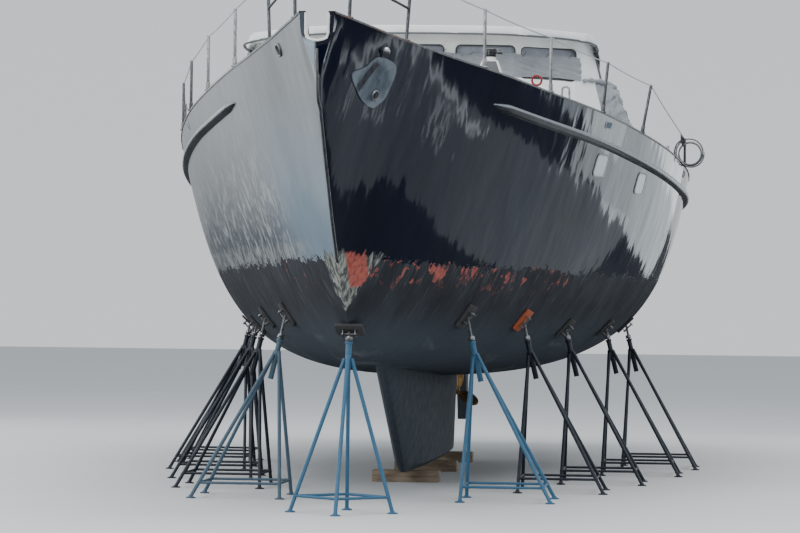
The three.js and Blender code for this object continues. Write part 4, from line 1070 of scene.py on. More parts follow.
def build_keel():
    """Ballast keel, skeg and rudder with rounded leading edges."""
    shape = Shape()
    turns = 48

    def place(u, v):
        s = round(u * turns) % turns / turns
        z = lerp(KEEL_FOOT, KEEL_ROOT, v)
        k = (z - KEEL_FOOT) / 1.28
        bow, stern, half = lerp(1.4, 3.885, k), lerp(-4.5, -4.748, k), lerp(0.17, 0.232, k)
        around = 2 * math.pi * s
        chord = 0.5 - 0.5 * math.cos(around)
        x = lerp(bow, stern, chord)
        thick = half * min(1.0, 1.9 * math.sqrt(chord) * (1 - chord) ** 0.42 + 0.06 * (1 - chord))
        foot = min(1.0, 0.55 + 0.45 * math.sqrt(min(1.0, (z - KEEL_FOOT) / 0.06)))
        return x, math.copysign(thick * foot, math.sin(around)) if 0 < s < 1 and s != 0.5 else 0.0, z

    shape.grid(turns, 24, place)
    bottom = [e for e in shape.bm.edges if e.is_boundary and all(v.co.z < 0.13 for v in e.verts)]
    bmesh.ops.holes_fill(shape.bm, edges=bottom, sides=0)
    m = paints()
    shape.finish("ballast_keel", m["antifouling"], replaces=("keel",))
    for node, name, body in (("skeg", "skeg_fin", "yacht"), ("rudder", "rudder_blade", "rudder")):
        piece = Shape()
        piece.copy_node(node, 0.012, 3)
        piece.finish(name, m["antifouling"], body, (node,))
    for node, name, body in (
        ("propeller_shaft", "shaft_line", "yacht"), ("propeller", "screw", "propeller")
    ):
        piece = Shape()
        piece.copy_node(node, 0.003, 2)
        piece.finish(name, m["bronze"], body, (node,))


def build_wells():
    """Linings of the cockpit footwell, the saloon and the fore hatch."""
    shape = Shape()
    for low, high in WELLS:
        centre = (Vector(low) + Vector(high)) / 2
        size = Vector(high) - Vector(low)
        made = bmesh.ops.create_cube(
            shape.bm, size=1.0, matrix=Matrix.Translation(centre) @ Matrix.Diagonal((*size, 1))
        )["verts"]
        faces = {f for v in made for f in v.link_faces}
        top = max(faces, key=lambda f: f.calc_center_median().z)
        floor = min(faces, key=lambda f: f.calc_center_median().z)
        shape.mark()
        floor.material_index = 1
        bmesh.ops.delete(shape.bm, geom=[top], context="FACES_ONLY")
        bmesh.ops.reverse_faces(shape.bm, faces=[f for f in faces if f.is_valid])
    m = paints()
    shape.finish("well_linings", [m["lining"], m["teak"]], outward=False)


# Deckhouse

HOUSE_CORNERS = (
    (0.85, 0.40, 0.45, 0.38), (0.75, 1.10, 0.35, 1.03), (0.25, 1.85, -0.15, 1.70),
    (-0.35, 2.23, -0.50, 1.838), (-4.16, 2.15, -4.16, 1.778),
)
HOUSE_LOW, HOUSE_HIGH = 3.15, 4.74
FRONT_WINDOWS = ((-0.31, 0.31), (0.44, 1.06), (1.12, 1.69), (-1.06, -0.44), (-1.69, -1.12))
SIDE_WINDOWS = ((-1.65, -0.75), (-2.75, -1.85), (-3.85, -2.95))
BACK_WINDOWS = ((0.6, 1.4), (-1.4, -0.6))
FRONT_PANE, SIDE_PANE, BACK_PANE = (4.445, 0.175), (4.415, 0.165), (4.35, 0.2)
ROOF_RAIL_Z = 4.85


def house_outline(z, off=0.0):
    """Points of the deckhouse's outer face at height z, from starboard aft round the front to port aft."""
    s = (z - HOUSE_LOW) / (HOUSE_HIGH - HOUSE_LOW)
    port = [Vector((lerp(a, c, s), lerp(b, d, s), z)) for a, b, c, d in HOUSE_CORNERS]
    around = [Vector((p.x, -p.y, z)) for p in reversed(port)] + port
    if not off:
        return around
    moved = []
    for i, point in enumerate(around):
        before = (point - around[i - 1]).normalized() if i else (around[1] - point).normalized()
        after = (around[i + 1] - point).normalized() if i + 1 < len(around) else before
        out = Vector((before.y + after.y, -before.x - after.x, 0))
        moved.append(point + out * (off / (1 + before.dot(after))))
    return moved


def roof_top(y):
    """Height of the roof's top at y, where it is widest."""
    return 4.812 - 0.025 * (y / 1.9) ** 2 - 0.15 * (max(0.0, abs(y) - 1.7) / 0.236) ** 8


def along_line(points, s):
    """The point a share s of the way along straight runs, measured by their length."""
    runs = [(b - a).length for a, b in zip(points, points[1:])]
    left = s * sum(runs)
    for (a, b), run in zip(zip(points, points[1:]), runs):
        if left <= run or b is points[-1]:
            return a.lerp(b, min(1.0, left / run))
        left -= run
    return points[-1]


def house_face(value, z, axis):
    """x of the front at y (axis 1), or y of the port side at x (axis 0), at height z."""
    ring = house_outline(z)[5:]
    run = [ring[0].copy(), *ring]
    run[0].y = -ring[0].y
    for a, b in zip(run, run[1:]):
        lo, hi = sorted((a[axis], b[axis]))
        if lo - 1e-6 <= value <= hi + 1e-6 and hi - lo > 1e-6:
            s = (value - a[axis]) / (b[axis] - a[axis])
            return lerp(a[1 - axis], b[1 - axis], s)
    return run[-1][1 - axis]


def build_deckhouse():
    """Walls, roof, door and glass, with their gaskets and handrails, and dark strips of painted shade under
    the roof's edge and down the corners.
    """
    m = paints()
    for node, name, material, bevel in (
        ("deckhouse_walls", "deckhouse_shell", m["white"], 0.012),
        ("deckhouse_roof", "deckhouse_top", m["white"], 0.03),
        ("companionway_door", "door_leaf", m["white_trim"], 0.006),
    ):
        shape = Shape()
        shape.copy_node(node, bevel, 3, 25)
        shape.finish(name, material, "door" if node.endswith("door") else "yacht", (node,), smooth=30)
    frame["nodes"]["deckhouse_glazing"].data.materials.clear()
    frame["nodes"]["deckhouse_glazing"].data.materials.append(m["glass"])

    shape = Shape()
    half = 0.008
    strip = (
        (-half, -0.004), (half, -0.004), (half, 0.002), (half - 0.003, 0.005), (-half + 0.003, 0.005),
        (-half, 0.002),
    )
    for low, high in FRONT_WINDOWS:
        ring = rounded_rectangle((high - low) / 2, FRONT_PANE[1], 0.05, 4)
        path = []
        for u, v in ring:
            y, z = (low + high) / 2 + u, FRONT_PANE[0] + v
            path.append((house_face(abs(y), z, 1), y, z))
        shape.sweep(path, strip, closed=True, up=(0.97, 0, 0.25))
    for side in (1, -1):
        for low, high in SIDE_WINDOWS:
            ring = rounded_rectangle((high - low) / 2, SIDE_PANE[1], 0.05, 4)
            path = []
            for u, v in ring:
                x, z = (low + high) / 2 + u, SIDE_PANE[0] + v
                path.append((x, side * house_face(x, z, 0), z))
            shape.sweep(path, strip, closed=True, up=(0, side * 0.98, 0.17))
    for low, high in BACK_WINDOWS:
        ring = rounded_rectangle((high - low) / 2, BACK_PANE[1], 0.05, 4)
        path = [(-4.16, (low + high) / 2 + u, BACK_PANE[0] + v) for u, v in ring]
        shape.sweep(path, strip, closed=True, up=(-1, 0, 0))
    shape.finish("window_gaskets", m["seal"])

    shape = Shape()
    matrix = Matrix.Translation((-4.160, -0.25, 3.95)) @ Matrix.Rotation(math.radians(-90), 4, "Y")
    knob = [
        (0.028, 0.0), (0.028, 0.006), (0.012, 0.01), (0.012, 0.035), (0.024, 0.045), (0.024, 0.06),
        (0.0, 0.064),
    ]
    shape.turned(knob, matrix)
    shape.finish("door_knob", m["steel"], "door")

    shape = Shape()
    for side in (1, -1):
        z = ROOF_RAIL_Z
        path = [
            (-3.9, 1.14, z), (-0.17, 1.14, z), (-0.13, 1.128, z), (-0.11, 1.09, z), (-0.11, 0.836, z)
        ]
        shape.tube([(x, side * y, h) for x, y, h in path], 0.011, 14)
        for x, y in ((-0.12, 1.126), (-0.11, 0.85), (-1.37, 1.14), (-2.62, 1.14), (-3.88, 1.14)):
            foot = roof_top(y)
            shape.rod((x, side * y, foot - 0.002), (x, side * y, z), 0.010)
            shape.rod((x, side * y, foot - 0.004), (x, side * y, foot + 0.008), 0.03, 0.026, 20, 0.002)
    shape.finish("roof_handrails", m["steel"], replaces=("roof_rail_port", "roof_rail_starboard"))

    # A dark strip hangs under the roof's edge, round the front and along the sides: painted shade for the
    # roof edge's shaded underside
    shape = Shape()
    path = [
        (-4.44, 1.783, 1.921), (-0.43, 1.915, 1.915), (-0.045, 1.782, 1.782), (0.56, 1.135, 1.135),
        (0.685, 0.44, 0.44),
    ]
    line = [(x, -y, roof_top(k) - 0.089) for x, y, k in path]
    line += [(x, -y, z) for x, y, z in reversed(line)]
    points = smooth_path(line, 6)
    shape.sweep(points, flat_section(0.012, -0.009, 0.011), up=(0, 0, 1))
    shape.finish("roof_edge_shade_strip", m["grey_and_painted_shade"])

    # Flat dark strips down the corners between the front and the sides: painted shade for the shade line at
    # each corner
    shape = Shape()
    for side in (1, -1):
        line = [house_outline(z, 0.004)[8] for z in (3.42, 3.8, 4.2, 4.62)]
        line = [Vector((p.x, side * p.y, p.z)) for p in line]
        shape.sweep(line, flat_section(0.004, -0.017, 0.017), up=(0.55, -side * 0.83, 0))
    shape.finish("corner_shade_strips", m["grey_and_painted_shade"])


def thicken(cloth):
    """Gives a cloth its thickness, half to each side."""
    made = cloth.modifiers.new("thickness", "SOLIDIFY")
    made.thickness = bpy.context.scene.yacht_sizes.canvas_thickness
    made.offset = 0.0


def build_window_cover():
    """Canvas laced over the lower part of the front windows, with its hems and lacing."""
    m = paints()
    rng = random.Random(5)
    waves = [
        (rng.uniform(5, 26), rng.uniform(1, 5), rng.uniform(0, 6.3), rng.uniform(0.4, 1))
        for _ in range(9)
    ]

    def place(u, v):
        top = 4.545 - 0.02 * abs(math.sin(u * 17)) - 0.012 * abs(math.sin(u * 47 + 1))
        z = lerp(4.302 + 0.010 * math.sin(u * 23), top, v)
        crease = sum(a * math.sin(f * u * 3.0 + g * v * 2.2 + ph) for f, g, ph, a in waves) / 9
        puff = 0.018 * crease + 0.012 * noise.noise(Vector((u * 34 + 6 * v, v * 4, 3)))
        edge = math.sin(math.pi * min(1.0, max(0.0, v))) ** 0.5
        off = 0.010 + max(0.0, 0.012 * edge + puff * (0.4 + edge))
        return along_line(house_outline(z, off)[2:8], u)

    shape = Shape()
    shape.grid(260, 22, place)
    cover = shape.finish("front_canvas", m["canvas"], replaces=("window_cover",), outward=False)
    thicken(cover)
    hems = Shape()
    for v in (0.0, 1.0):
        path = [place(u / 240, v) + Vector((0.002, 0, 0)) for u in range(241)]
        hems.sweep(path, flat_section(0.004, -0.011, 0.011), up=(0, 0, 1))
    hem = hems.finish("canvas_hems", m["canvas"])
    cords = Shape()
    for k in range(13):
        u = (k + 0.5) / 13
        a = place(u, 0.97) + Vector((0.006, 0, 0))
        b = place(min(1.0, u + 0.011), 1.0)
        b = b + Vector((0, 0, 0.04 + 0.01 * math.sin(k * 2.1)))
        b.x = house_face(abs(b.y), b.z, 1) + 0.012 if abs(b.y) < 1.69 else b.x
        cords.tube([a, (a + b) / 2 + Vector((0.004, 0, -0.004)), b], 0.003, 6)
    cord = cords.finish("canvas_lacing", m["lacing"])


def build_side_curtain():
    """Slack canvas that hangs from the port wall, its forward end gathered round the deckhouse's corner."""
    m = paints()

    def place(u, v):
        x = lerp(-0.24, -4.0, u**1.5)
        full = min(1.0, 0.04 + ((-0.24 - x) / 0.26) ** 0.8)
        fold = abs(math.sin(u * 31 + 1.7 * math.sin(v * 3 + u * 9)))
        lump = noise.noise(Vector((u * 26, v * 5, 1)))
        crease = 0.10 * abs(noise.noise(Vector((u * 38, v * 9 + u * 20, 5)))) - 0.02
        if v < 0.25:
            s = v / 0.25
            z = lerp(4.302, 4.235, s * s) + 0.02 * lump
            out = lerp(0.012, 0.118, s) + (0.04 * lump + crease) * s
        else:
            s = (v - 0.25) / 0.75
            z = lerp(4.235, 3.604 + 0.012 * math.sin(u * 17), s)
            out = lerp(0.118, 0.185, s) + 0.06 * (fold - 0.5) * (0.4 + s) + 0.05 * lump + crease
        wall = house_face(x, max(z, 3.6), 0)
        return Vector((x + 0.012 * math.sin(u * 31) * v, wall + 0.01 + max(0.002, out * full), z))

    shape = Shape()
    shape.grid(260, 40, place)
    curtain = shape.finish("side_canvas", m["canvas"], replaces=("side_curtain",), outward=False)
    thicken(curtain)
    hem = Shape()
    for v in (0.0, 1.0):
        path = [place(k / 240, v) for k in range(241)]
        hem.sweep(path, flat_section(0.004, -0.012, 0.012), up=(0, 0, 1))
    roll = [
        (-0.05, 0.0, 4.285), (-0.2, 0.012, 4.300), (-0.38, 0.05, 4.292), (-0.56, 0.10, 4.262),
        (-0.85, 0.11, 4.25), (-1.3, 0.10, 4.245),
    ]
    line = [(x, house_face(x, z, 0) + 0.026 + out, z) for x, out, z in roll]
    hem.tube(
        smooth_path(line, 14), 0.024, 12,
        size=lambda s: 0.6 + 0.4 * math.sin(math.pi * s) + 0.3 * math.sin(s * 41) + 0.14 * math.sin(
            s * 97
        ),
    )
    hems = hem.finish("side_canvas_hems", m["canvas"])


# Deck fittings

DRUM_CENTRE = Vector((6.9, 0.194, 3.87))
WINCH_X, WINCH_Y, WINCH_Z = -5.0, 1.31, 3.578
VENT_X, VENT_Y = 4.6, 1.087
MAST_X, MAST_RADIUS, MAST_TOP = 1.7, 0.21, 3.545
WHEEL_HUB = Vector((-6.48, 0, 3.52))
WHEEL_RADIUS = 0.384


def build_deck_fittings():
    """Everything on deck and in the cockpit, apart from the deckhouse and the rails."""
    m = paints()
    nodes = frame["nodes"]
    nodes["deck"].data.materials.clear()
    nodes["deck"].data.materials.append(m["deck"])
    copies = (
        ("hatch_frame", "hatch_coaming", m["white_trim"], 0.01, "yacht"),
        ("windlass", "windlass_case", m["white_trim"], 0.012, "yacht"),
        ("chainplates_port", "shroud_plates_port", m["steel"], 0.004, "yacht"),
        ("chainplates_starboard", "shroud_plates_starboard", m["steel"], 0.004, "yacht"),
        ("cockpit_coaming", "cockpit_sides", m["white"], 0.02, "yacht"),
        ("pedestal", "helm_pedestal", m["white_trim"], 0.014, "yacht"),
    )
    for node, name, material, bevel, body in copies:
        shape = Shape()
        shape.copy_node(node, bevel, 3)
        shape.finish(name, material, body, (node,))

    shape = Shape()
    shape.block((4.745, -0.355, 3.745), (5.455, 0.355, 3.770), 0.008, 3)
    shape.use(1)
    shape.block((4.80, -0.30, 3.768), (5.40, 0.30, 3.778), 0.004, 2)
    shape.use(2)
    for y in (-0.22, 0.22):
        shape.rod((5.455, y - 0.04, 3.762), (5.455, y + 0.04, 3.762), 0.012, None, 14, 0.002)
        shape.block((5.40, y - 0.03, 3.770), (5.455, y + 0.03, 3.778), 0.002)
        shape.block((4.86, y - 0.015, 3.778), (4.96, y + 0.015, 3.790), 0.004)
    shape.finish("hatch_cover", [m["white_trim"], m["smoked"], m["steel"]], "hatch_lid", ("hatch_lid",))

    drum = [
        (0.0, -0.05), (0.088, -0.05), (0.092, -0.046), (0.092, -0.037), (0.078, -0.026),
        (0.063, -0.012), (0.061, 0.004),
    ]
    drum += [
        (0.064, 0.018), (0.078, 0.034), (0.085, 0.041), (0.085, 0.047), (0.08, 0.05), (0.02, 0.05),
        (0.016, 0.046), (0.0, 0.046),
    ]
    shape = Shape()
    matrix = Matrix.Translation(DRUM_CENTRE) @ Matrix.Rotation(math.radians(-90), 4, "X")
    shape.turned(drum, matrix, 36)
    for k in range(6):
        angle = math.pi * k / 3
        offset = Vector((math.cos(angle) * 0.0625, 0, math.sin(angle) * 0.0625))
        centre = DRUM_CENTRE + Vector((0, 0.004, 0)) + offset
        shape.rod(centre - Vector((0, 0.014, 0)), centre + Vector((0, 0.014, 0)), 0.005, None, 8)
    shape.finish("windlass_gypsy", m["steel"], "windlass_drum", ("windlass_drum",))

    profile = [
        (0.0, -0.082), (0.074, -0.082), (0.074, -0.064), (0.066, -0.058), (0.055, -0.03), (0.052, 0.0),
        (0.053, 0.03),
    ]
    profile += [
        (0.062, 0.052), (0.068, 0.06), (0.068, 0.072), (0.062, 0.081), (0.03, 0.082), (0.018, 0.082),
        (0.018, 0.06), (0.0, 0.06),
    ]
    for word, side in SIDES:
        shape = Shape()
        shape.turned(profile, Matrix.Translation((WINCH_X, side * WINCH_Y, WINCH_Z)), 40)
        for k in range(20):
            angle = 2 * math.pi * k / 20
            a = Vector((WINCH_X, side * WINCH_Y, WINCH_Z - 0.023))
            a += Vector((0.0535 * math.cos(angle), 0.0535 * math.sin(angle), 0))
            shape.rod(a, a + Vector((0, 0, 0.05)), 0.0025, None, 6)
        shape.finish("sheet_winch_" + word, m["steel"], "winch_" + word, ("winch_" + word,))

    build_ventilator(m)
    build_mast_step(m)
    build_seats(m)
    build_wheel(m)


def build_ventilator(m):
    """The dorade box with trimmed corners, and its neck and dark cap."""
    x, y = VENT_X, VENT_Y
    shape = Shape()
    levels = ((0.106, 3.52), (0.106, 3.995), (0.064, 4.110))

    def wall(u, v):
        a, b = CORNERS[round(u * 4) % 4]
        half, z = levels[round(v * 2)]
        return x + a * half, y + b * half, z

    shape.grid(4, 2, wall)
    lid = [(0.068 * a, 0.068 * b) for a, b in CORNERS]
    shape.plate(lid, 0.006, Matrix.Translation((x, y, 4.107)))
    shape.use(1)
    for a, b in CORNERS:
        line = [(x + a * half, y + b * half, z) for half, z in levels]
        shape.tube(line, 0.009, 8)
    for half, z in levels[1:]:
        ring = [(x + a * half, y + b * half, z) for a, b in CORNERS]
        for a, b in zip(ring, ring[1:] + ring[:1]):
            shape.rod(a, b, 0.008, None, 8)
    shape.rod((x, y, 4.105), (x, y, 4.15), 0.052, 0.05, 28, 0.003)
    shape.use(2)
    shape.rod((x, y, 4.15), (x, y, 4.185), 0.054, 0.056, 28, 0.003)
    cap = [
        (0.0, 4.186), (0.060, 4.186), (0.064, 4.190), (0.064, 4.214), (0.058, 4.224), (0.03, 4.230),
        (0.0, 4.231),
    ]
    shape.turned(cap, Matrix.Translation((x, y, 0)), 32)
    shape.rod((x + 0.03, y + 0.055, 4.185), (x + 0.03, y + 0.115, 4.185), 0.011, 0.013, 12, 0.002)
    shape.finish(
        "dorade_vent", [m["grey_and_painted_shade"], m["white_trim"], m["black_enamel"]], replaces=("ventilator",)
    )


def build_mast_step(m):
    """The round plate that takes a mast's heel, bolted through the deck."""
    shape = Shape()
    base = deck_height(MAST_X) + 0.032
    shape.plate(circle(MAST_RADIUS, 48), MAST_TOP - base, Matrix.Translation((MAST_X, 0, base)), 0.006, 3)
    shape.use(1)
    for k in range(8):
        angle = 2 * math.pi * (k + 0.5) / 8
        centre = Vector((MAST_X + 0.185 * math.cos(angle), 0.185 * math.sin(angle), MAST_TOP))
        shape.plate(circle(0.011, 6), 0.007, Matrix.Translation(centre - Vector((0, 0, 0.001))), 0.0015)
    shape.finish("mast_foot_plate", [m["galvanised"], m["steel"]], replaces=("mast_step",))


def build_seats(m):
    """Teak slats on the cockpit's side and aft seats, on white risers."""
    shape = Shape()
    outside, inside, bow, stern, aft, top = 1.222, 0.6, -4.45, -7.282, -6.95, 3.29
    base = 3.18
    for side in (1, -1):
        y0, y1 = sorted((side * inside, side * outside))
        shape.block((stern, y0, base), (bow, y1, top - 0.014), 0.004)
    shape.block((stern, -inside, base), (aft, inside, top - 0.014), 0.004)
    shape.use(1)
    slats = 10
    pitch = (outside - inside) / slats
    for side in (1, -1):
        for k in range(slats):
            y = side * (inside + pitch * (k + 0.5))
            shape.block(
                (stern, y - pitch / 2 + 0.003, top - 0.016), (bow, y + pitch / 2 - 0.003, top), 0.002
            )
    for k in range(20):
        y = -inside + 1.2 * (k + 0.5) / 20
        shape.block((stern, y - 0.027, top - 0.016), (aft, y + 0.027, top), 0.002)
    shape.finish("cockpit_benches", [m["white"], m["teak"]], replaces=("cockpit_seats",))


def build_wheel(m):
    """The steering wheel: rim, six spokes with ferrules, and hub."""
    shape = Shape()
    hub = WHEEL_HUB
    rim = [hub + Vector((0, a, b)) for a, b in circle(WHEEL_RADIUS, 64)]
    shape.tube(rim, 0.016, 14, closed=True)
    for k in range(6):
        out = Vector((0, math.cos(math.pi * k / 3), math.sin(math.pi * k / 3)))
        shape.rod(hub + out * 0.03, hub + out * 0.372, 0.009, None, 12)
        shape.rod(hub + out * 0.352, hub + out * 0.372, 0.0095, 0.014, 12)
    matrix = Matrix.Translation(hub - Vector((0.025, 0, 0))) @ Matrix.Rotation(math.radians(90), 4, "Y")
    shape.turned(
        [(0.0, 0.0), (0.03, 0.0), (0.038, 0.006), (0.038, 0.11), (0.03, 0.115), (0.0, 0.115)], matrix,
        28,
    )
    shape.finish("helm_wheel", m["steel"], "wheel", ("steering_wheel",))


# Rails


def bulwark_place(x, side, up=0.0):
    return Vector((x, side * (sheer_half(x) - BULWARK_WALL / 2), sheer_height(x) + up))


def add_foot(shape, x, side, radius=0.034):
    shape.rod(
        bulwark_place(x, side, 0.004), bulwark_place(x, side, 0.016), radius, radius * 0.9, 20, 0.002
    )


PUSHPIT_TOP = 3.96
STANCHIONS = {
    "port": (
        (5.88, 0.53, 0.0), (4.19, 0.53, 0.0), (2.5, 0.51, 0.05), (0.81, 0.51, 0.09), (-2.57, 0.33, 0.0)
    ),
    "starboard": tuple(
        (x, 0.53 if x > 4 else 0.51, 0.0) for x in (5.88, 4.19, 2.5, 0.81, -1.0, -2.8, -4.6)
    ),
}


def sagging(a, b, sag, steps=10):
    """Points of a slack line between two places."""
    a, b = Vector(a), Vector(b)
    return [
        a.lerp(b, k / steps) - Vector((0, 0, sag * 4 * (k / steps) * (1 - k / steps)))
        for k in range(steps + 1)
    ]


def build_rails():
    """Pulpit, pushpit, stanchions with their slack line, and the hoop by the deckhouse."""
    m = paints()
    sizes = bpy.context.scene.yacht_sizes
    shape = Shape()
    rail = [(7.45, 0.62, 4.6), (8.25, 0.4, 4.7), (8.8, 0.17, 4.757)]
    path = [*rail, (8.9, 0, 4.765), *[(x, -y, z) for x, y, z in reversed(rail)]]
    shape.tube(smooth_path(path, 8), sizes.pulpit_tube, 14)
    for side in (1, -1):
        shape.rod(bulwark_place(7.55, side), (7.48, side * 0.612, 4.603), sizes.pulpit_tube)
        shape.rod(bulwark_place(8.65, side), (8.65, side * 0.238, 4.742), sizes.pulpit_tube)
        shape.rod((7.516, side * 0.597, 4.31), (8.65, side * 0.232, 4.45), 0.011)
        add_foot(shape, 7.55, side)
        add_foot(shape, 8.65, side)
    shape.finish("bow_pulpit", m["dark_steel"], replaces=("pulpit",))

    shape = Shape()
    top = PUSHPIT_TOP
    sides = [(x, sheer_half(x) - BULWARK_WALL / 2, top) for x in (-6.89, -7.5, -7.9, -8.5)]
    path = [*sides, (-8.84, 2.13, top), (-8.89, 1.9, top), (-8.892, 0.7, top)]
    path = [*path, *[(x, -y, z) for x, y, z in reversed(path)]]
    shape.tube(smooth_path(path, 6), sizes.pulpit_tube, 14)
    for side in (1, -1):
        for x in (-6.914, -7.9):
            shape.rod(
                bulwark_place(x, side), (x, side * (sheer_half(x) - BULWARK_WALL / 2), top),
                sizes.pulpit_tube,
            )
            add_foot(shape, x, side)
        for y in (1.9, 0.7):
            shape.rod((-8.892, side * y, 3.36), (-8.892, side * y, top), sizes.pulpit_tube)
            shape.rod((-8.92, side * y, 3.364), (-8.92, side * y, 3.376), 0.03, 0.028, 20, 0.002)
    shape.finish("stern_pushpit", m["steel"], replaces=("pushpit",))

    for word, side in SIDES:
        shape = Shape()
        tops = []
        for x, height, lean in STANCHIONS[word]:
            foot = Vector((x, side * (sheer_half(x) - 0.012), sheer_height(x)))
            head = foot + Vector((0, side * lean, height))
            shape.use(2 if x > 3 else 0)
            shape.rod(foot, head, sizes.stanchion, sizes.stanchion - 0.001, 16, 0.003)
            shape.rod(foot, foot.lerp(head, 0.16), 0.021, 0.02, 16, 0.003)
            shape.rod(
                foot + Vector((0, 0, 0.004)), foot + Vector((0, 0, 0.016)), 0.036, 0.033, 20, 0.002
            )
            tops.append(head - Vector((0, 0, 0.012)))
        start = Vector((7.444, side * 0.622, 4.598))
        line = [start, *tops]
        if side < 0:
            line.append(Vector((-6.88, side * (sheer_half(-6.88) - BULWARK_WALL / 2), 3.95)))
        shape.use(1)
        for a, b in zip(line, line[1:]):
            shape.tube(sagging(a, b, 0.012), sizes.life_line, 8)
        for a, b in zip(line[1:], line[2:]):
            run = (b - a).normalized()
            shape.rod(a + run * 0.02, a + run * 0.09, 0.0075, None, 10, 0.002)
        shape.finish(
            "life_line_" + word, [m["dark_steel"], m["lifeline"], m["worn_steel"]],
            replaces=("guard_rail_" + word,),
        )

    shape = Shape()
    path = [(3.0, 1.684, 3.53), (3.0, 1.684, 3.936), (3.0, 1.698, 3.984), (3.0, 1.72, 3.996)]
    path = [*path, (3.0, 1.742, 3.984), (3.0, 1.756, 3.936), (3.0, 1.756, 3.53)]
    shape.tube(smooth_path(path, 6), 0.0105, 12)
    shape.finish("tube_hoop", m["worn_steel"], replaces=("grab_hoop",))


# Cords

COIL_CENTRE = Vector((-2.537, 2.905, 3.645))
COIL_RADIUS, COIL_PITCH, COIL_TURNS = 0.143, 0.0205, 3.7
RED_LINE_X = 4.52
RED_COIL_RADIUS, RED_COIL_PITCH, RED_COIL_TURNS = 0.044, 0.0095, 6.25


def path_length(points):
    return sum((b - a).length for a, b in zip(points, points[1:]))


def add_cord(name, material, points, diameter, with_pieces=(), replaces=(), **how):
    """A free rope or cable as a tube along closely spaced points."""
    points = [Vector(p) for p in points]
    shape = Shape()
    shape.tube(points, diameter / 2, 10)
    made = shape.finish(name, paints()[material], replaces=replaces)
    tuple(points[0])
    path_length(
            points
        )


def hank(centre, radius, pitch, turns, start, loose=0.0, drift=0.0, steps=48):
    """Turns of a coil that hangs in the plane across the yacht, stepping forward by a pitch a turn."""
    centre = Vector(centre)
    made = []
    for k in range(round(turns * steps) + 1):
        turn = k / steps
        angle = start + 2 * math.pi * turn
        size = radius * (1 + loose * math.sin(angle * 0.37 + 1.0) * math.sin(angle * 0.61))
        out = Vector(
            (pitch * turn, math.cos(angle) * size + drift * turn, math.sin(angle) * size - drift * turn)
        )
        made.append(centre + out)
    return made


def add_sleeve(name, a, b, radius, material):
    shape = Shape()
    shape.rod(a, b, radius, radius * 0.9, 12, radius * 0.4)
    return shape.finish(name, paints()[material])


def build_cords():
    """The coil of cable on the low port post, and the red line left on the port bulwark."""
    sizes = bpy.context.scene.yacht_sizes
    turns = hank(COIL_CENTRE, COIL_RADIUS, COIL_PITCH, COIL_TURNS, math.radians(122), 0.27, 0.009)
    lead = Vector((-2.557, turns[0].y, turns[0].z))
    coil = smooth_path([lead, turns[3], turns[6]], 6)[:-1] + turns[6:]
    run = (turns[-1] - turns[-2]).normalized()
    end = add_sleeve(
        "coil_end_sleeve", turns[-1] - run * 0.03, turns[-1] + run * 0.012, 0.0115, "lifeline"
    )
    shape = Shape()
    tied = turns[0]
    across = Vector((0, tied.y - COIL_CENTRE.y, tied.z - COIL_CENTRE.z)).normalized()
    for k in range(9):
        middle = Vector((-2.52, tied.y + 0.012, tied.z - 0.05 + 0.011 * k))
        ring = [
            middle + Vector((0.066 * math.cos(a), 0, 0)) + across * (0.034 * math.sin(a))
            for a in (2 * math.pi * i / 20 for i in range(20))
        ]
        shape.tube(ring, 0.0055, 6, closed=True)
    tie = shape.finish("coil_tie", paints()["lacing"])
    add_cord(
        "cable_hank", "cable", coil, round(sizes.cable, 4), [end, tie], ("cable_coil",),
        far_end="fitting", stiffness="limp", lay="coiled",
    )

    x = RED_LINE_X
    top = sheer_height(x) + 0.0125
    centre = (x, sheer_half(x) - 0.026, top + 0.054)
    ring = hank(centre, RED_COIL_RADIUS, RED_COIL_PITCH, RED_COIL_TURNS, math.radians(-90), 0.25)
    tail = [x - 0.06 - 0.03 * k for k in range(6)]
    line = [
        Vector((a, sheer_half(a) - 0.026 + 0.008 * math.sin(a * 30), sheer_height(a) + 0.0125))
        for a in tail
    ]
    back = smooth_path([*reversed(line), ring[0] - Vector((0.012, 0.03, 0)), ring[0], ring[4]], 8)[:-1]
    tip = ring[-1]
    end = add_sleeve(
        "red_line_whipping", tip - Vector((0, 0, 0.012)), tip + Vector((0, 0, 0.006)), 0.0062, "lacing"
    )
    add_cord(
        "red_line", "rope_red", back + ring[4:], round(sizes.red_line, 4), [end],
        far_end="fitting", stiffness="limp", lay="coiled",
    )


# Supports


STAND_APEX = 1.38
STAND_SPREADER = 0.13
STAND_SPREAD = 0.42
BOW_STAND_X = 6.4
BOW_STAND_SPREAD = 0.45
SIDE_STANDS = ((4.15, 1.74), (2.4, 1.71), (0.6, 1.63), (-1.4, 1.635), (-3.1, 1.67))
STAND_FINISH = {
    ("port", 1): ("stand_blue", "pad_grey"), ("starboard", 1): ("stand_grey", "pad_grey"),
    ("port", 2): ("stand_black", "pad_orange"),
}


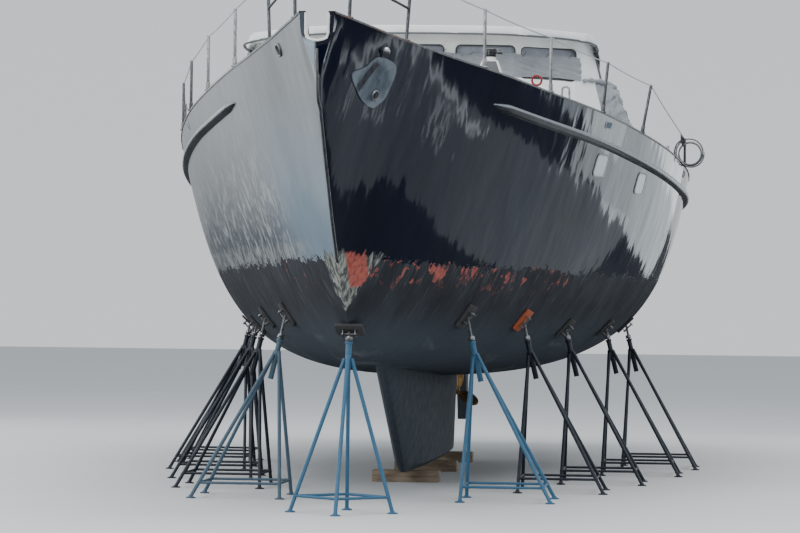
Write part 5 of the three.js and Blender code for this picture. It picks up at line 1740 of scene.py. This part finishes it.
def build_stand(name, node, contact, normal, middle, feet, finish):
    """A jack stand: four legs, welded rails, a threaded screw with its handle, and a pad on a swivel."""
    m = paints()
    normal = Vector(normal).normalized()
    shape = Shape()
    pad = Vector(contact) + normal * 0.015
    foot = Vector(middle)

    def on_axis(z):
        return foot.lerp(pad, z / pad.z)

    lean = (pad - foot).normalized()
    apex = on_axis(STAND_APEX)
    soles = [Vector((middle[0] + a, middle[1] + b, 0.016)) for a, b in feet]
    for k, sole in enumerate(soles):
        near = apex - lean * (0.03 * (k % 2)) + (sole - foot).normalized() * 0.03
        shape.rod(sole, near, bpy.context.scene.yacht_sizes.stand_leg, None, 14)
        shape.rod((sole.x, sole.y, 0.0), (sole.x, sole.y, 0.012), 0.046, None, 24, 0.003)
        shape.rod((sole.x, sole.y, 0.012), (sole.x, sole.y, 0.026), 0.026, 0.02, 16, 0.002)
        a = sole.lerp(apex, STAND_SPREADER / STAND_APEX)
        b = soles[(k + 1) % 4].lerp(apex, STAND_SPREADER / STAND_APEX)
        shape.rod(a, b, 0.0125, None, 12)
        shape.rod(a - Vector((0, 0, 0.012)), a + Vector((0, 0, 0.012)), 0.021, 0.02, 12, 0.003)
    shape.rod(on_axis(1.12), on_axis(1.5), 0.0265, None, 20, 0.002)
    shape.rod(on_axis(1.478), on_axis(1.5), 0.033, None, 20, 0.003)
    shape.use(1)
    low, high = on_axis(1.44), pad - normal * -0.012
    run = high - low
    turns = int(run.length / 0.0062)
    across = lean.orthogonal().normalized()
    other = lean.cross(across)
    shape.rod(low, high, 0.0132, None, 14)
    helix = []
    for k in range(turns * 8 + 1):
        angle = 2 * math.pi * k / 8
        helix.append(
            low.lerp(high, k / (turns * 8)) + (
                across * math.cos(angle) + other * math.sin(angle)
            ) * 0.0132,
        )
    shape.tube(helix, 0.0022, 4)
    handle = on_axis(1.526)
    shape.rod(handle - lean * 0.02, handle + lean * 0.02, 0.031, None, 20, 0.004)
    shape.rod(handle - Vector((0.148, 0, 0)), handle + Vector((0.148, 0, 0)), 0.0085, None, 12, 0.002)
    shape.use(2)
    turn = frame_at(pad - normal * 0.013, normal, (1, 0, 0) if abs(normal.x) < 0.9 else (0, 1, 0))
    square = rounded_rectangle(0.124, 0.124, 0.016, 3)
    shape.plate(square, 0.022, turn, 0.004, 3)
    shape.use(1)
    under = frame_at(pad + normal * 0.009, normal, (1, 0, 0) if abs(normal.x) < 0.9 else (0, 1, 0))
    for a in (-0.055, 0.055):
        ear = under @ Matrix.Translation((a, 0, 0))
        shape.block((-0.005, -0.045, -0.001), (0.005, 0.045, 0.05), 0.003, 2, ear)
    shape.rod(under @ Vector((-0.07, 0, 0.03)), under @ Vector((0.07, 0, 0.03)), 0.009, None, 12, 0.002)
    frame_paint, pad_paint = finish
    shape.finish(name, [m[frame_paint], m["worn_steel"], m[pad_paint]], replaces=(node,))


def build_stands():
    """Five pairs of stands along the sides and one under the stem."""
    for k, (x, z) in enumerate(SIDE_STANDS, 1):
        for word, side in SIDES:
            half = half_at(x, z)
            feet = [(STAND_SPREAD * a, STAND_SPREAD * b) for a, b in CORNERS]
            finish = STAND_FINISH.get((word, k), ("stand_black", "pad_grey"))
            build_stand(
                f"jack_{word}_{k}", f"stand_{word}_{k}", (x, side * half, z), hull_normal(x, z, side),
                (x, side * (half + STAND_SPREAD), 0.0), feet, finish,
            )
    x = BOW_STAND_X
    z = keel_line(x)
    slope = (keel_line(x + 0.02) - keel_line(x - 0.02)) / 0.04
    feet = [(BOW_STAND_SPREAD * a, BOW_STAND_SPREAD * b) for a, b in ((1, 0), (0, 1), (-1, 0), (0, -1))]
    finish = ("stand_blue", "pad_grey")
    build_stand("jack_bow", "stand_bow", (x, 0, z), (slope, 0, -1), (x + 0.05, -0.05, 0), feet, finish)


def build_blocks():
    """Two crossed baulks under each part of the keel."""
    m = paints()
    for k, x in enumerate((0.9, -1.5, -3.9), 1):
        shape = Shape()
        for a in (-0.125, 0.0025):
            shape.block((x + a, -0.35, 0.0), (x + a + 0.1225, 0.35, 0.058), 0.006, 2)
            shape.block((x + a, -0.35, 0.0585), (x + a + 0.1225, 0.35, 0.1185), 0.006, 2)
        shape.finish(f"timber_block_{k}", m["baulk"], replaces=(f"keel_block_{k}",))


# Trim on the hull


def build_trim():
    """Portlights, scuppers and the fairlead in the starboard bow."""
    m = paints()
    shape = Shape()
    for x, z in PORTLIGHTS:
        matrix = hull_frame(x, z, 1, -0.004)
        ring = [matrix @ Vector((u, v, 0.008)) for u, v in rounded_rectangle(0.2, 0.11, 0.06, 6)]
        shape.use(2)
        shape.tube(ring, 0.008, 10, closed=True)
        shape.use(1)
        shape.plate(rounded_rectangle(0.196, 0.106, 0.057, 6), 0.008, matrix, 0.0)
    for x, side in SCUPPERS:
        z = deck_height(x) + 0.19
        matrix = hull_frame(x, z, side, 0.0)
        ring = [matrix @ Vector((u, v, 0.002)) for u, v in rounded_rectangle(0.11, 0.034, 0.033, 6)]
        shape.use(2)
        shape.tube(ring, 0.005, 8, closed=True)
        shape.use(3)
        shape.plate(rounded_rectangle(0.108, 0.032, 0.031, 6), 0.003, matrix, 0.0)
    shape.finish("hull_ports", [m["white_trim"], m["port_glass"], m["lifeline"], m["stand_grey"]])

    # Mooring fairlead in the starboard bow: a black plate, painted shade for its opening, in a bright rim
    shape = Shape()
    matrix = hull_frame(7.87, 3.929, -1, 0.0)
    shape.plate(rounded_rectangle(0.06, 0.042, 0.04, 6), 0.004, matrix, 0.0)
    shape.use(1)
    shape.tube(
        [matrix @ Vector((u, v, 0.004)) for u, v in rounded_rectangle(0.066, 0.048, 0.045, 6)], 0.009,
        10, closed=True,
    )
    shape.finish("bow_fairlead", [m["rubber"], m["worn_steel"]])


# Stage and camera

CAMERA_PLACE = (34.0, 3.09, 1.706)
CAMERA_YAW, CAMERA_PITCH, CAMERA_ROLL = math.radians(5.49), math.radians(0.941), math.radians(0.671)
FOCAL_PIXELS = 3168.3
PHOTO_WIDTH = 800.0
SENSOR_WIDTH = 36.0
PANEL_COLOR = (0.86, 0.95, 1.0)

# Faint panels to port, which the gloss side mirrors: place, target, width, height and strength
MIRRORED_PANELS = (
    ("quarter_panel", (-13.4, 8.2, 2.25), (0.2, 2.4, 2.9), 6.6, 2.6, 1.3),
    ("band_panel", (-9.6, 9.7, 2.6), (3.2, 1.9, 3.65), 3.4, 0.9, 1.0),
    ("bow_strip", (-4.3, 10.6, 1.35), (6.9, 0.8, 3.8), 2.6, 0.16, 1.6),
    ("bow_post", (-4.3, 10.6, 0.75), (6.7, 0.7, 3.5), 0.16, 0.8, 1.6),
    ("middle_panel", (0.3, 4.7, 1.8), (6.0, 0.8, 3.0), 4.6, 1.7, 0.35),
)


def add_light(name, place, target, width, height, power, color=(1, 1, 1)):
    """A soft panel that the camera doesn't see."""
    data = bpy.data.lights.new(name, "AREA")
    data.shape = "RECTANGLE"
    data.size, data.size_y = width, height
    data.energy = power
    data.color = color
    made = bpy.data.objects.new(name, data)
    made.location = place
    made.rotation_euler = (Vector(target) - Vector(place)).to_track_quat("-Z", "Y").to_euler()
    made.visible_camera = False
    bpy.context.scene.collection.objects.link(made)


def build_camera():
    """The camera at the place and angle that the photograph was taken from."""
    yaw, pitch, roll = CAMERA_YAW, CAMERA_PITCH, CAMERA_ROLL
    ahead = Vector(
        (-math.cos(yaw) * math.cos(pitch), -math.sin(yaw) * math.cos(pitch), math.sin(pitch))
    )
    right = Vector((-math.sin(yaw), math.cos(yaw), 0))
    up = right.cross(ahead)
    right, up = right * math.cos(roll) + up * math.sin(roll), up * math.cos(roll) - right * math.sin(
        roll
    )
    data = bpy.data.cameras.new("photo_camera")
    data.sensor_width = SENSOR_WIDTH
    data.lens = SENSOR_WIDTH * FOCAL_PIXELS / PHOTO_WIDTH
    data.clip_end = 500.0
    made = bpy.data.objects.new("photo_camera", data)
    turn = Matrix((right, up, -ahead)).transposed().to_4x4()
    made.matrix_world = Matrix.Translation(CAMERA_PLACE) @ turn
    bpy.context.scene.collection.objects.link(made)
    bpy.context.scene.camera = made


def build_stage():
    """A plain pale floor, an even sky and soft panels. The floor is dark to glossy rays only."""
    settings = bpy.context.scene.yacht_stage
    bm = bmesh.new()
    bmesh.ops.create_grid(bm, x_segments=8, y_segments=8, size=130.0)
    mesh = bpy.data.meshes.new("floor")
    bm.to_mesh(mesh)
    bm.free()
    floor = bpy.data.objects.new("floor", mesh)
    bpy.context.scene.collection.objects.link(floor)
    p = Paint("floor_paint")
    tone = p.mix(p.noise(0.4, 0.2, 0.8), tuple(settings.floor), tuple(c * 0.96 for c in settings.floor))
    seen_in_gloss = p.node("ShaderNodeLightPath").outputs["Is Glossy Ray"]
    floor.data.materials.append(p.finish(p.mix(seen_in_gloss, tone, (0.03, 0.032, 0.036)), 0.9))

    world = bpy.data.worlds.new("studio")
    bpy.context.scene.world = world
    world.use_nodes = True
    tree = world.node_tree
    background = tree.nodes["Background"]
    place = tree.nodes.new("ShaderNodeTexCoord")
    split = tree.nodes.new("ShaderNodeSeparateXYZ")
    ramp = tree.nodes.new("ShaderNodeValToRGB")
    tree.links.new(place.outputs["Generated"], split.inputs[0])
    tree.links.new(split.outputs[2], ramp.inputs[0])
    tree.links.new(ramp.outputs[0], background.inputs["Color"])
    ramp.color_ramp.elements[0].color = (*settings.horizon, 1)
    ramp.color_ramp.elements[1].color = (*settings.zenith, 1)
    ramp.color_ramp.elements[1].position = 0.6
    background.inputs["Strength"].default_value = settings.sky_strength

    add_light("sky_panel", (6, 0, 22), (0, 0, 0), 30, 24, settings.key_power)
    add_light("front_panel", (30, -14, 12), (5, 0, 3), 14, 8, settings.key_power * 0.3)
    add_light(
        "starboard_panel", (-4, -16, 4), (3, 0, 3), 26, 7, settings.key_power * 0.12, (0.93, 0.97, 1.0)
    )
    for name, place, target, width, height, strength in MIRRORED_PANELS:
        power = strength * width * height * math.pi
        add_light(name, place, target, width, height, power, PANEL_COLOR)


# The add-on


def require(happened, what):
    """Raises an error where a step has not done its work."""
    if not happened:
        raise RuntimeError(what)


def require_pieces(*names):
    for name in names:
        require(name in bpy.data.objects, name + " was not built")


class YachtColors(bpy.types.PropertyGroup):
    """Colours of the yacht's main finishes."""

    topsides: FloatVectorProperty(
        name="Topsides", description="Gloss enamel", subtype="COLOR", default=(0.002, 0.0035, 0.011)
    )
    antifouling: FloatVectorProperty(
        name="Antifouling", description="Matt bottom paint", subtype="COLOR",
        default=(0.020, 0.021, 0.027),
    )
    deckhouse: FloatVectorProperty(
        name="Deckhouse", description="White enamel", subtype="COLOR", default=(0.86, 0.88, 0.87)
    )
    deck: FloatVectorProperty(
        name="Deck", description="Non-slip paint", subtype="COLOR", default=(0.55, 0.55, 0.52)
    )
    canvas: FloatVectorProperty(
        name="Canvas", description="Window covers", subtype="COLOR", default=(0.29, 0.315, 0.34)
    )
    stand_blue: FloatVectorProperty(
        name="Blue stands", description="Paint of the blue stands", subtype="COLOR",
        default=(0.034, 0.132, 0.235),
    )
    pad_orange: FloatVectorProperty(
        name="Orange pads", description="Paint of the orange pad", subtype="COLOR",
        default=(0.40, 0.085, 0.028),
    )


class YachtSizes(bpy.types.PropertyGroup):
    """Thicknesses of the pieces that are drawn as tubes, cloth and cord."""

    pulpit_tube: FloatProperty(
        name="Pulpit tube", description="Radius of the tube fore and aft", default=0.0145, unit="LENGTH"
    )
    stanchion: FloatProperty(
        name="Stanchion", description="Radius of a stanchion at its foot", default=0.0155, unit="LENGTH"
    )
    life_line: FloatProperty(
        name="Life line", description="Radius of the sleeved wire", default=0.006, unit="LENGTH"
    )
    stand_leg: FloatProperty(
        name="Stand leg", description="Radius of a jack stand's leg", default=0.0175, unit="LENGTH"
    )
    canvas_thickness: FloatProperty(
        name="Canvas", description="Thickness of the window covers", default=0.0018, unit="LENGTH"
    )
    cable: FloatProperty(
        name="Cable", description="Diameter of the coiled cable", default=0.017, unit="LENGTH"
    )
    red_line: FloatProperty(
        name="Red line", description="Diameter of the red line", default=0.008, unit="LENGTH"
    )


class YachtStage(bpy.types.PropertyGroup):
    """Floor, sky and lamps of the studio."""

    floor: FloatVectorProperty(
        name="Floor", description="Colour of the floor", subtype="COLOR", default=(0.62, 0.62, 0.61)
    )
    horizon: FloatVectorProperty(
        name="Horizon", description="Colour low down", subtype="COLOR", default=(0.80, 0.82, 0.84)
    )
    zenith: FloatVectorProperty(
        name="Zenith", description="Colour overhead", subtype="COLOR", default=(0.62, 0.68, 0.76)
    )
    sky_strength: FloatProperty(
        name="Sky", description="Strength of the even light", default=1.05, min=0.0
    )
    key_power: FloatProperty(
        name="Key light", description="Power of the main panel", default=7200.0, min=0.0, unit="POWER"
    )


class YACHT_OT_camera(bpy.types.Operator):
    """Put the camera at the photograph's place"""

    bl_idname = "yacht.camera"
    bl_label = "Add camera"

    def execute(self, context):
        build_camera()
        require(context.scene.camera is not None, "the scene has no camera")
        return {"FINISHED"}


class YACHT_OT_cords(bpy.types.Operator):
    """Lay the coil of cable and the red line"""

    bl_idname = "yacht.cords"
    bl_label = "Lay cords"

    def execute(self, context):
        build_cords()
        require_pieces("cable_hank", "red_line")
        return {"FINISHED"}


class YACHT_OT_hull(bpy.types.Operator):
    """Build the hull with its stem, strakes, keel, wells and ports"""

    bl_idname = "yacht.hull"
    bl_label = "Build hull"

    def execute(self, context):
        build_hull_shell()
        build_bulwark_cap()
        build_strakes()
        build_stem_bar()
        build_stem_fitting()
        build_anchor_plate()
        build_keel()
        build_wells()
        build_trim()
        require_pieces("hull_shell", "rubbing_strakes", "stem_bar_worn", "ballast_keel", "hull_ports")
        return {"FINISHED"}


class YACHT_OT_deckhouse(bpy.types.Operator):
    """Build the deckhouse and hang its canvas"""

    bl_idname = "yacht.deckhouse"
    bl_label = "Build deckhouse"

    def execute(self, context):
        build_deckhouse()
        build_window_cover()
        build_side_curtain()
        require_pieces("deckhouse_shell", "deckhouse_top", "front_canvas", "side_canvas")
        return {"FINISHED"}


class YACHT_OT_deck(bpy.types.Operator):
    """Build the hatch, windlass, winches, ventilator, helm and seats"""

    bl_idname = "yacht.deck"
    bl_label = "Build deck fittings"

    def execute(self, context):
        build_deck_fittings()
        require_pieces("hatch_cover", "windlass_gypsy", "dorade_vent", "helm_wheel", "cockpit_benches")
        return {"FINISHED"}


class YACHT_OT_rails(bpy.types.Operator):
    """Build the pulpit, the pushpit and the guard rails"""

    bl_idname = "yacht.rails"
    bl_label = "Build rails"

    def execute(self, context):
        build_rails()
        require_pieces("bow_pulpit", "stern_pushpit", "life_line_port", "life_line_starboard")
        return {"FINISHED"}


class YACHT_OT_supports(bpy.types.Operator):
    """Build the jack stands and the keel blocks"""

    bl_idname = "yacht.supports"
    bl_label = "Build supports"

    def execute(self, context):
        build_stands()
        build_blocks()
        require_pieces("jack_bow", "jack_port_5", "jack_starboard_5", "timber_block_3")
        return {"FINISHED"}


class YACHT_OT_stage(bpy.types.Operator):
    """Build the floor, the sky and the lamps"""

    bl_idname = "yacht.stage"
    bl_label = "Build stage"

    def execute(self, context):
        build_stage()
        require_pieces("floor", "sky_panel")
        return {"FINISHED"}


OPERATORS = (
    YACHT_OT_camera,
    YACHT_OT_cords,
    YACHT_OT_hull,
    YACHT_OT_deckhouse,
    YACHT_OT_deck,
    YACHT_OT_rails,
    YACHT_OT_supports,
    YACHT_OT_stage,
)


class YACHT_PT_panel(bpy.types.Panel):
    """Sizes, colours and steps of the yacht"""

    bl_label = "Sailing yacht"
    bl_idname = "YACHT_PT_panel"
    bl_space_type = "VIEW_3D"
    bl_region_type = "UI"
    bl_category = "Yacht"

    def draw(self, context):
        scene = context.scene
        for group in (scene.yacht_sizes, scene.yacht_colors, scene.yacht_stage):
            box = self.layout.box()
            for key in group.__annotations__:
                box.prop(group, key)
        for step in OPERATORS:
            self.layout.operator(step.bl_idname)


CLASSES = (YachtColors, YachtSizes, YachtStage, *OPERATORS, YACHT_PT_panel)


def register():
    for item in CLASSES:
        bpy.utils.register_class(item)
    bpy.types.Scene.yacht_colors = PointerProperty(type=YachtColors)
    bpy.types.Scene.yacht_sizes = PointerProperty(type=YachtSizes)
    bpy.types.Scene.yacht_stage = PointerProperty(type=YachtStage)


def unregister():
    del bpy.types.Scene.yacht_colors
    del bpy.types.Scene.yacht_sizes
    del bpy.types.Scene.yacht_stage
    for item in reversed(CLASSES):
        bpy.utils.unregister_class(item)


def main():
    register()
    for step in OPERATORS:
        family, name = step.bl_idname.split(".")
        result = getattr(getattr(bpy.ops, family), name)()
        require(result == {"FINISHED"}, step.bl_label + " did not finish")


if __name__ == "__main__":
    main()
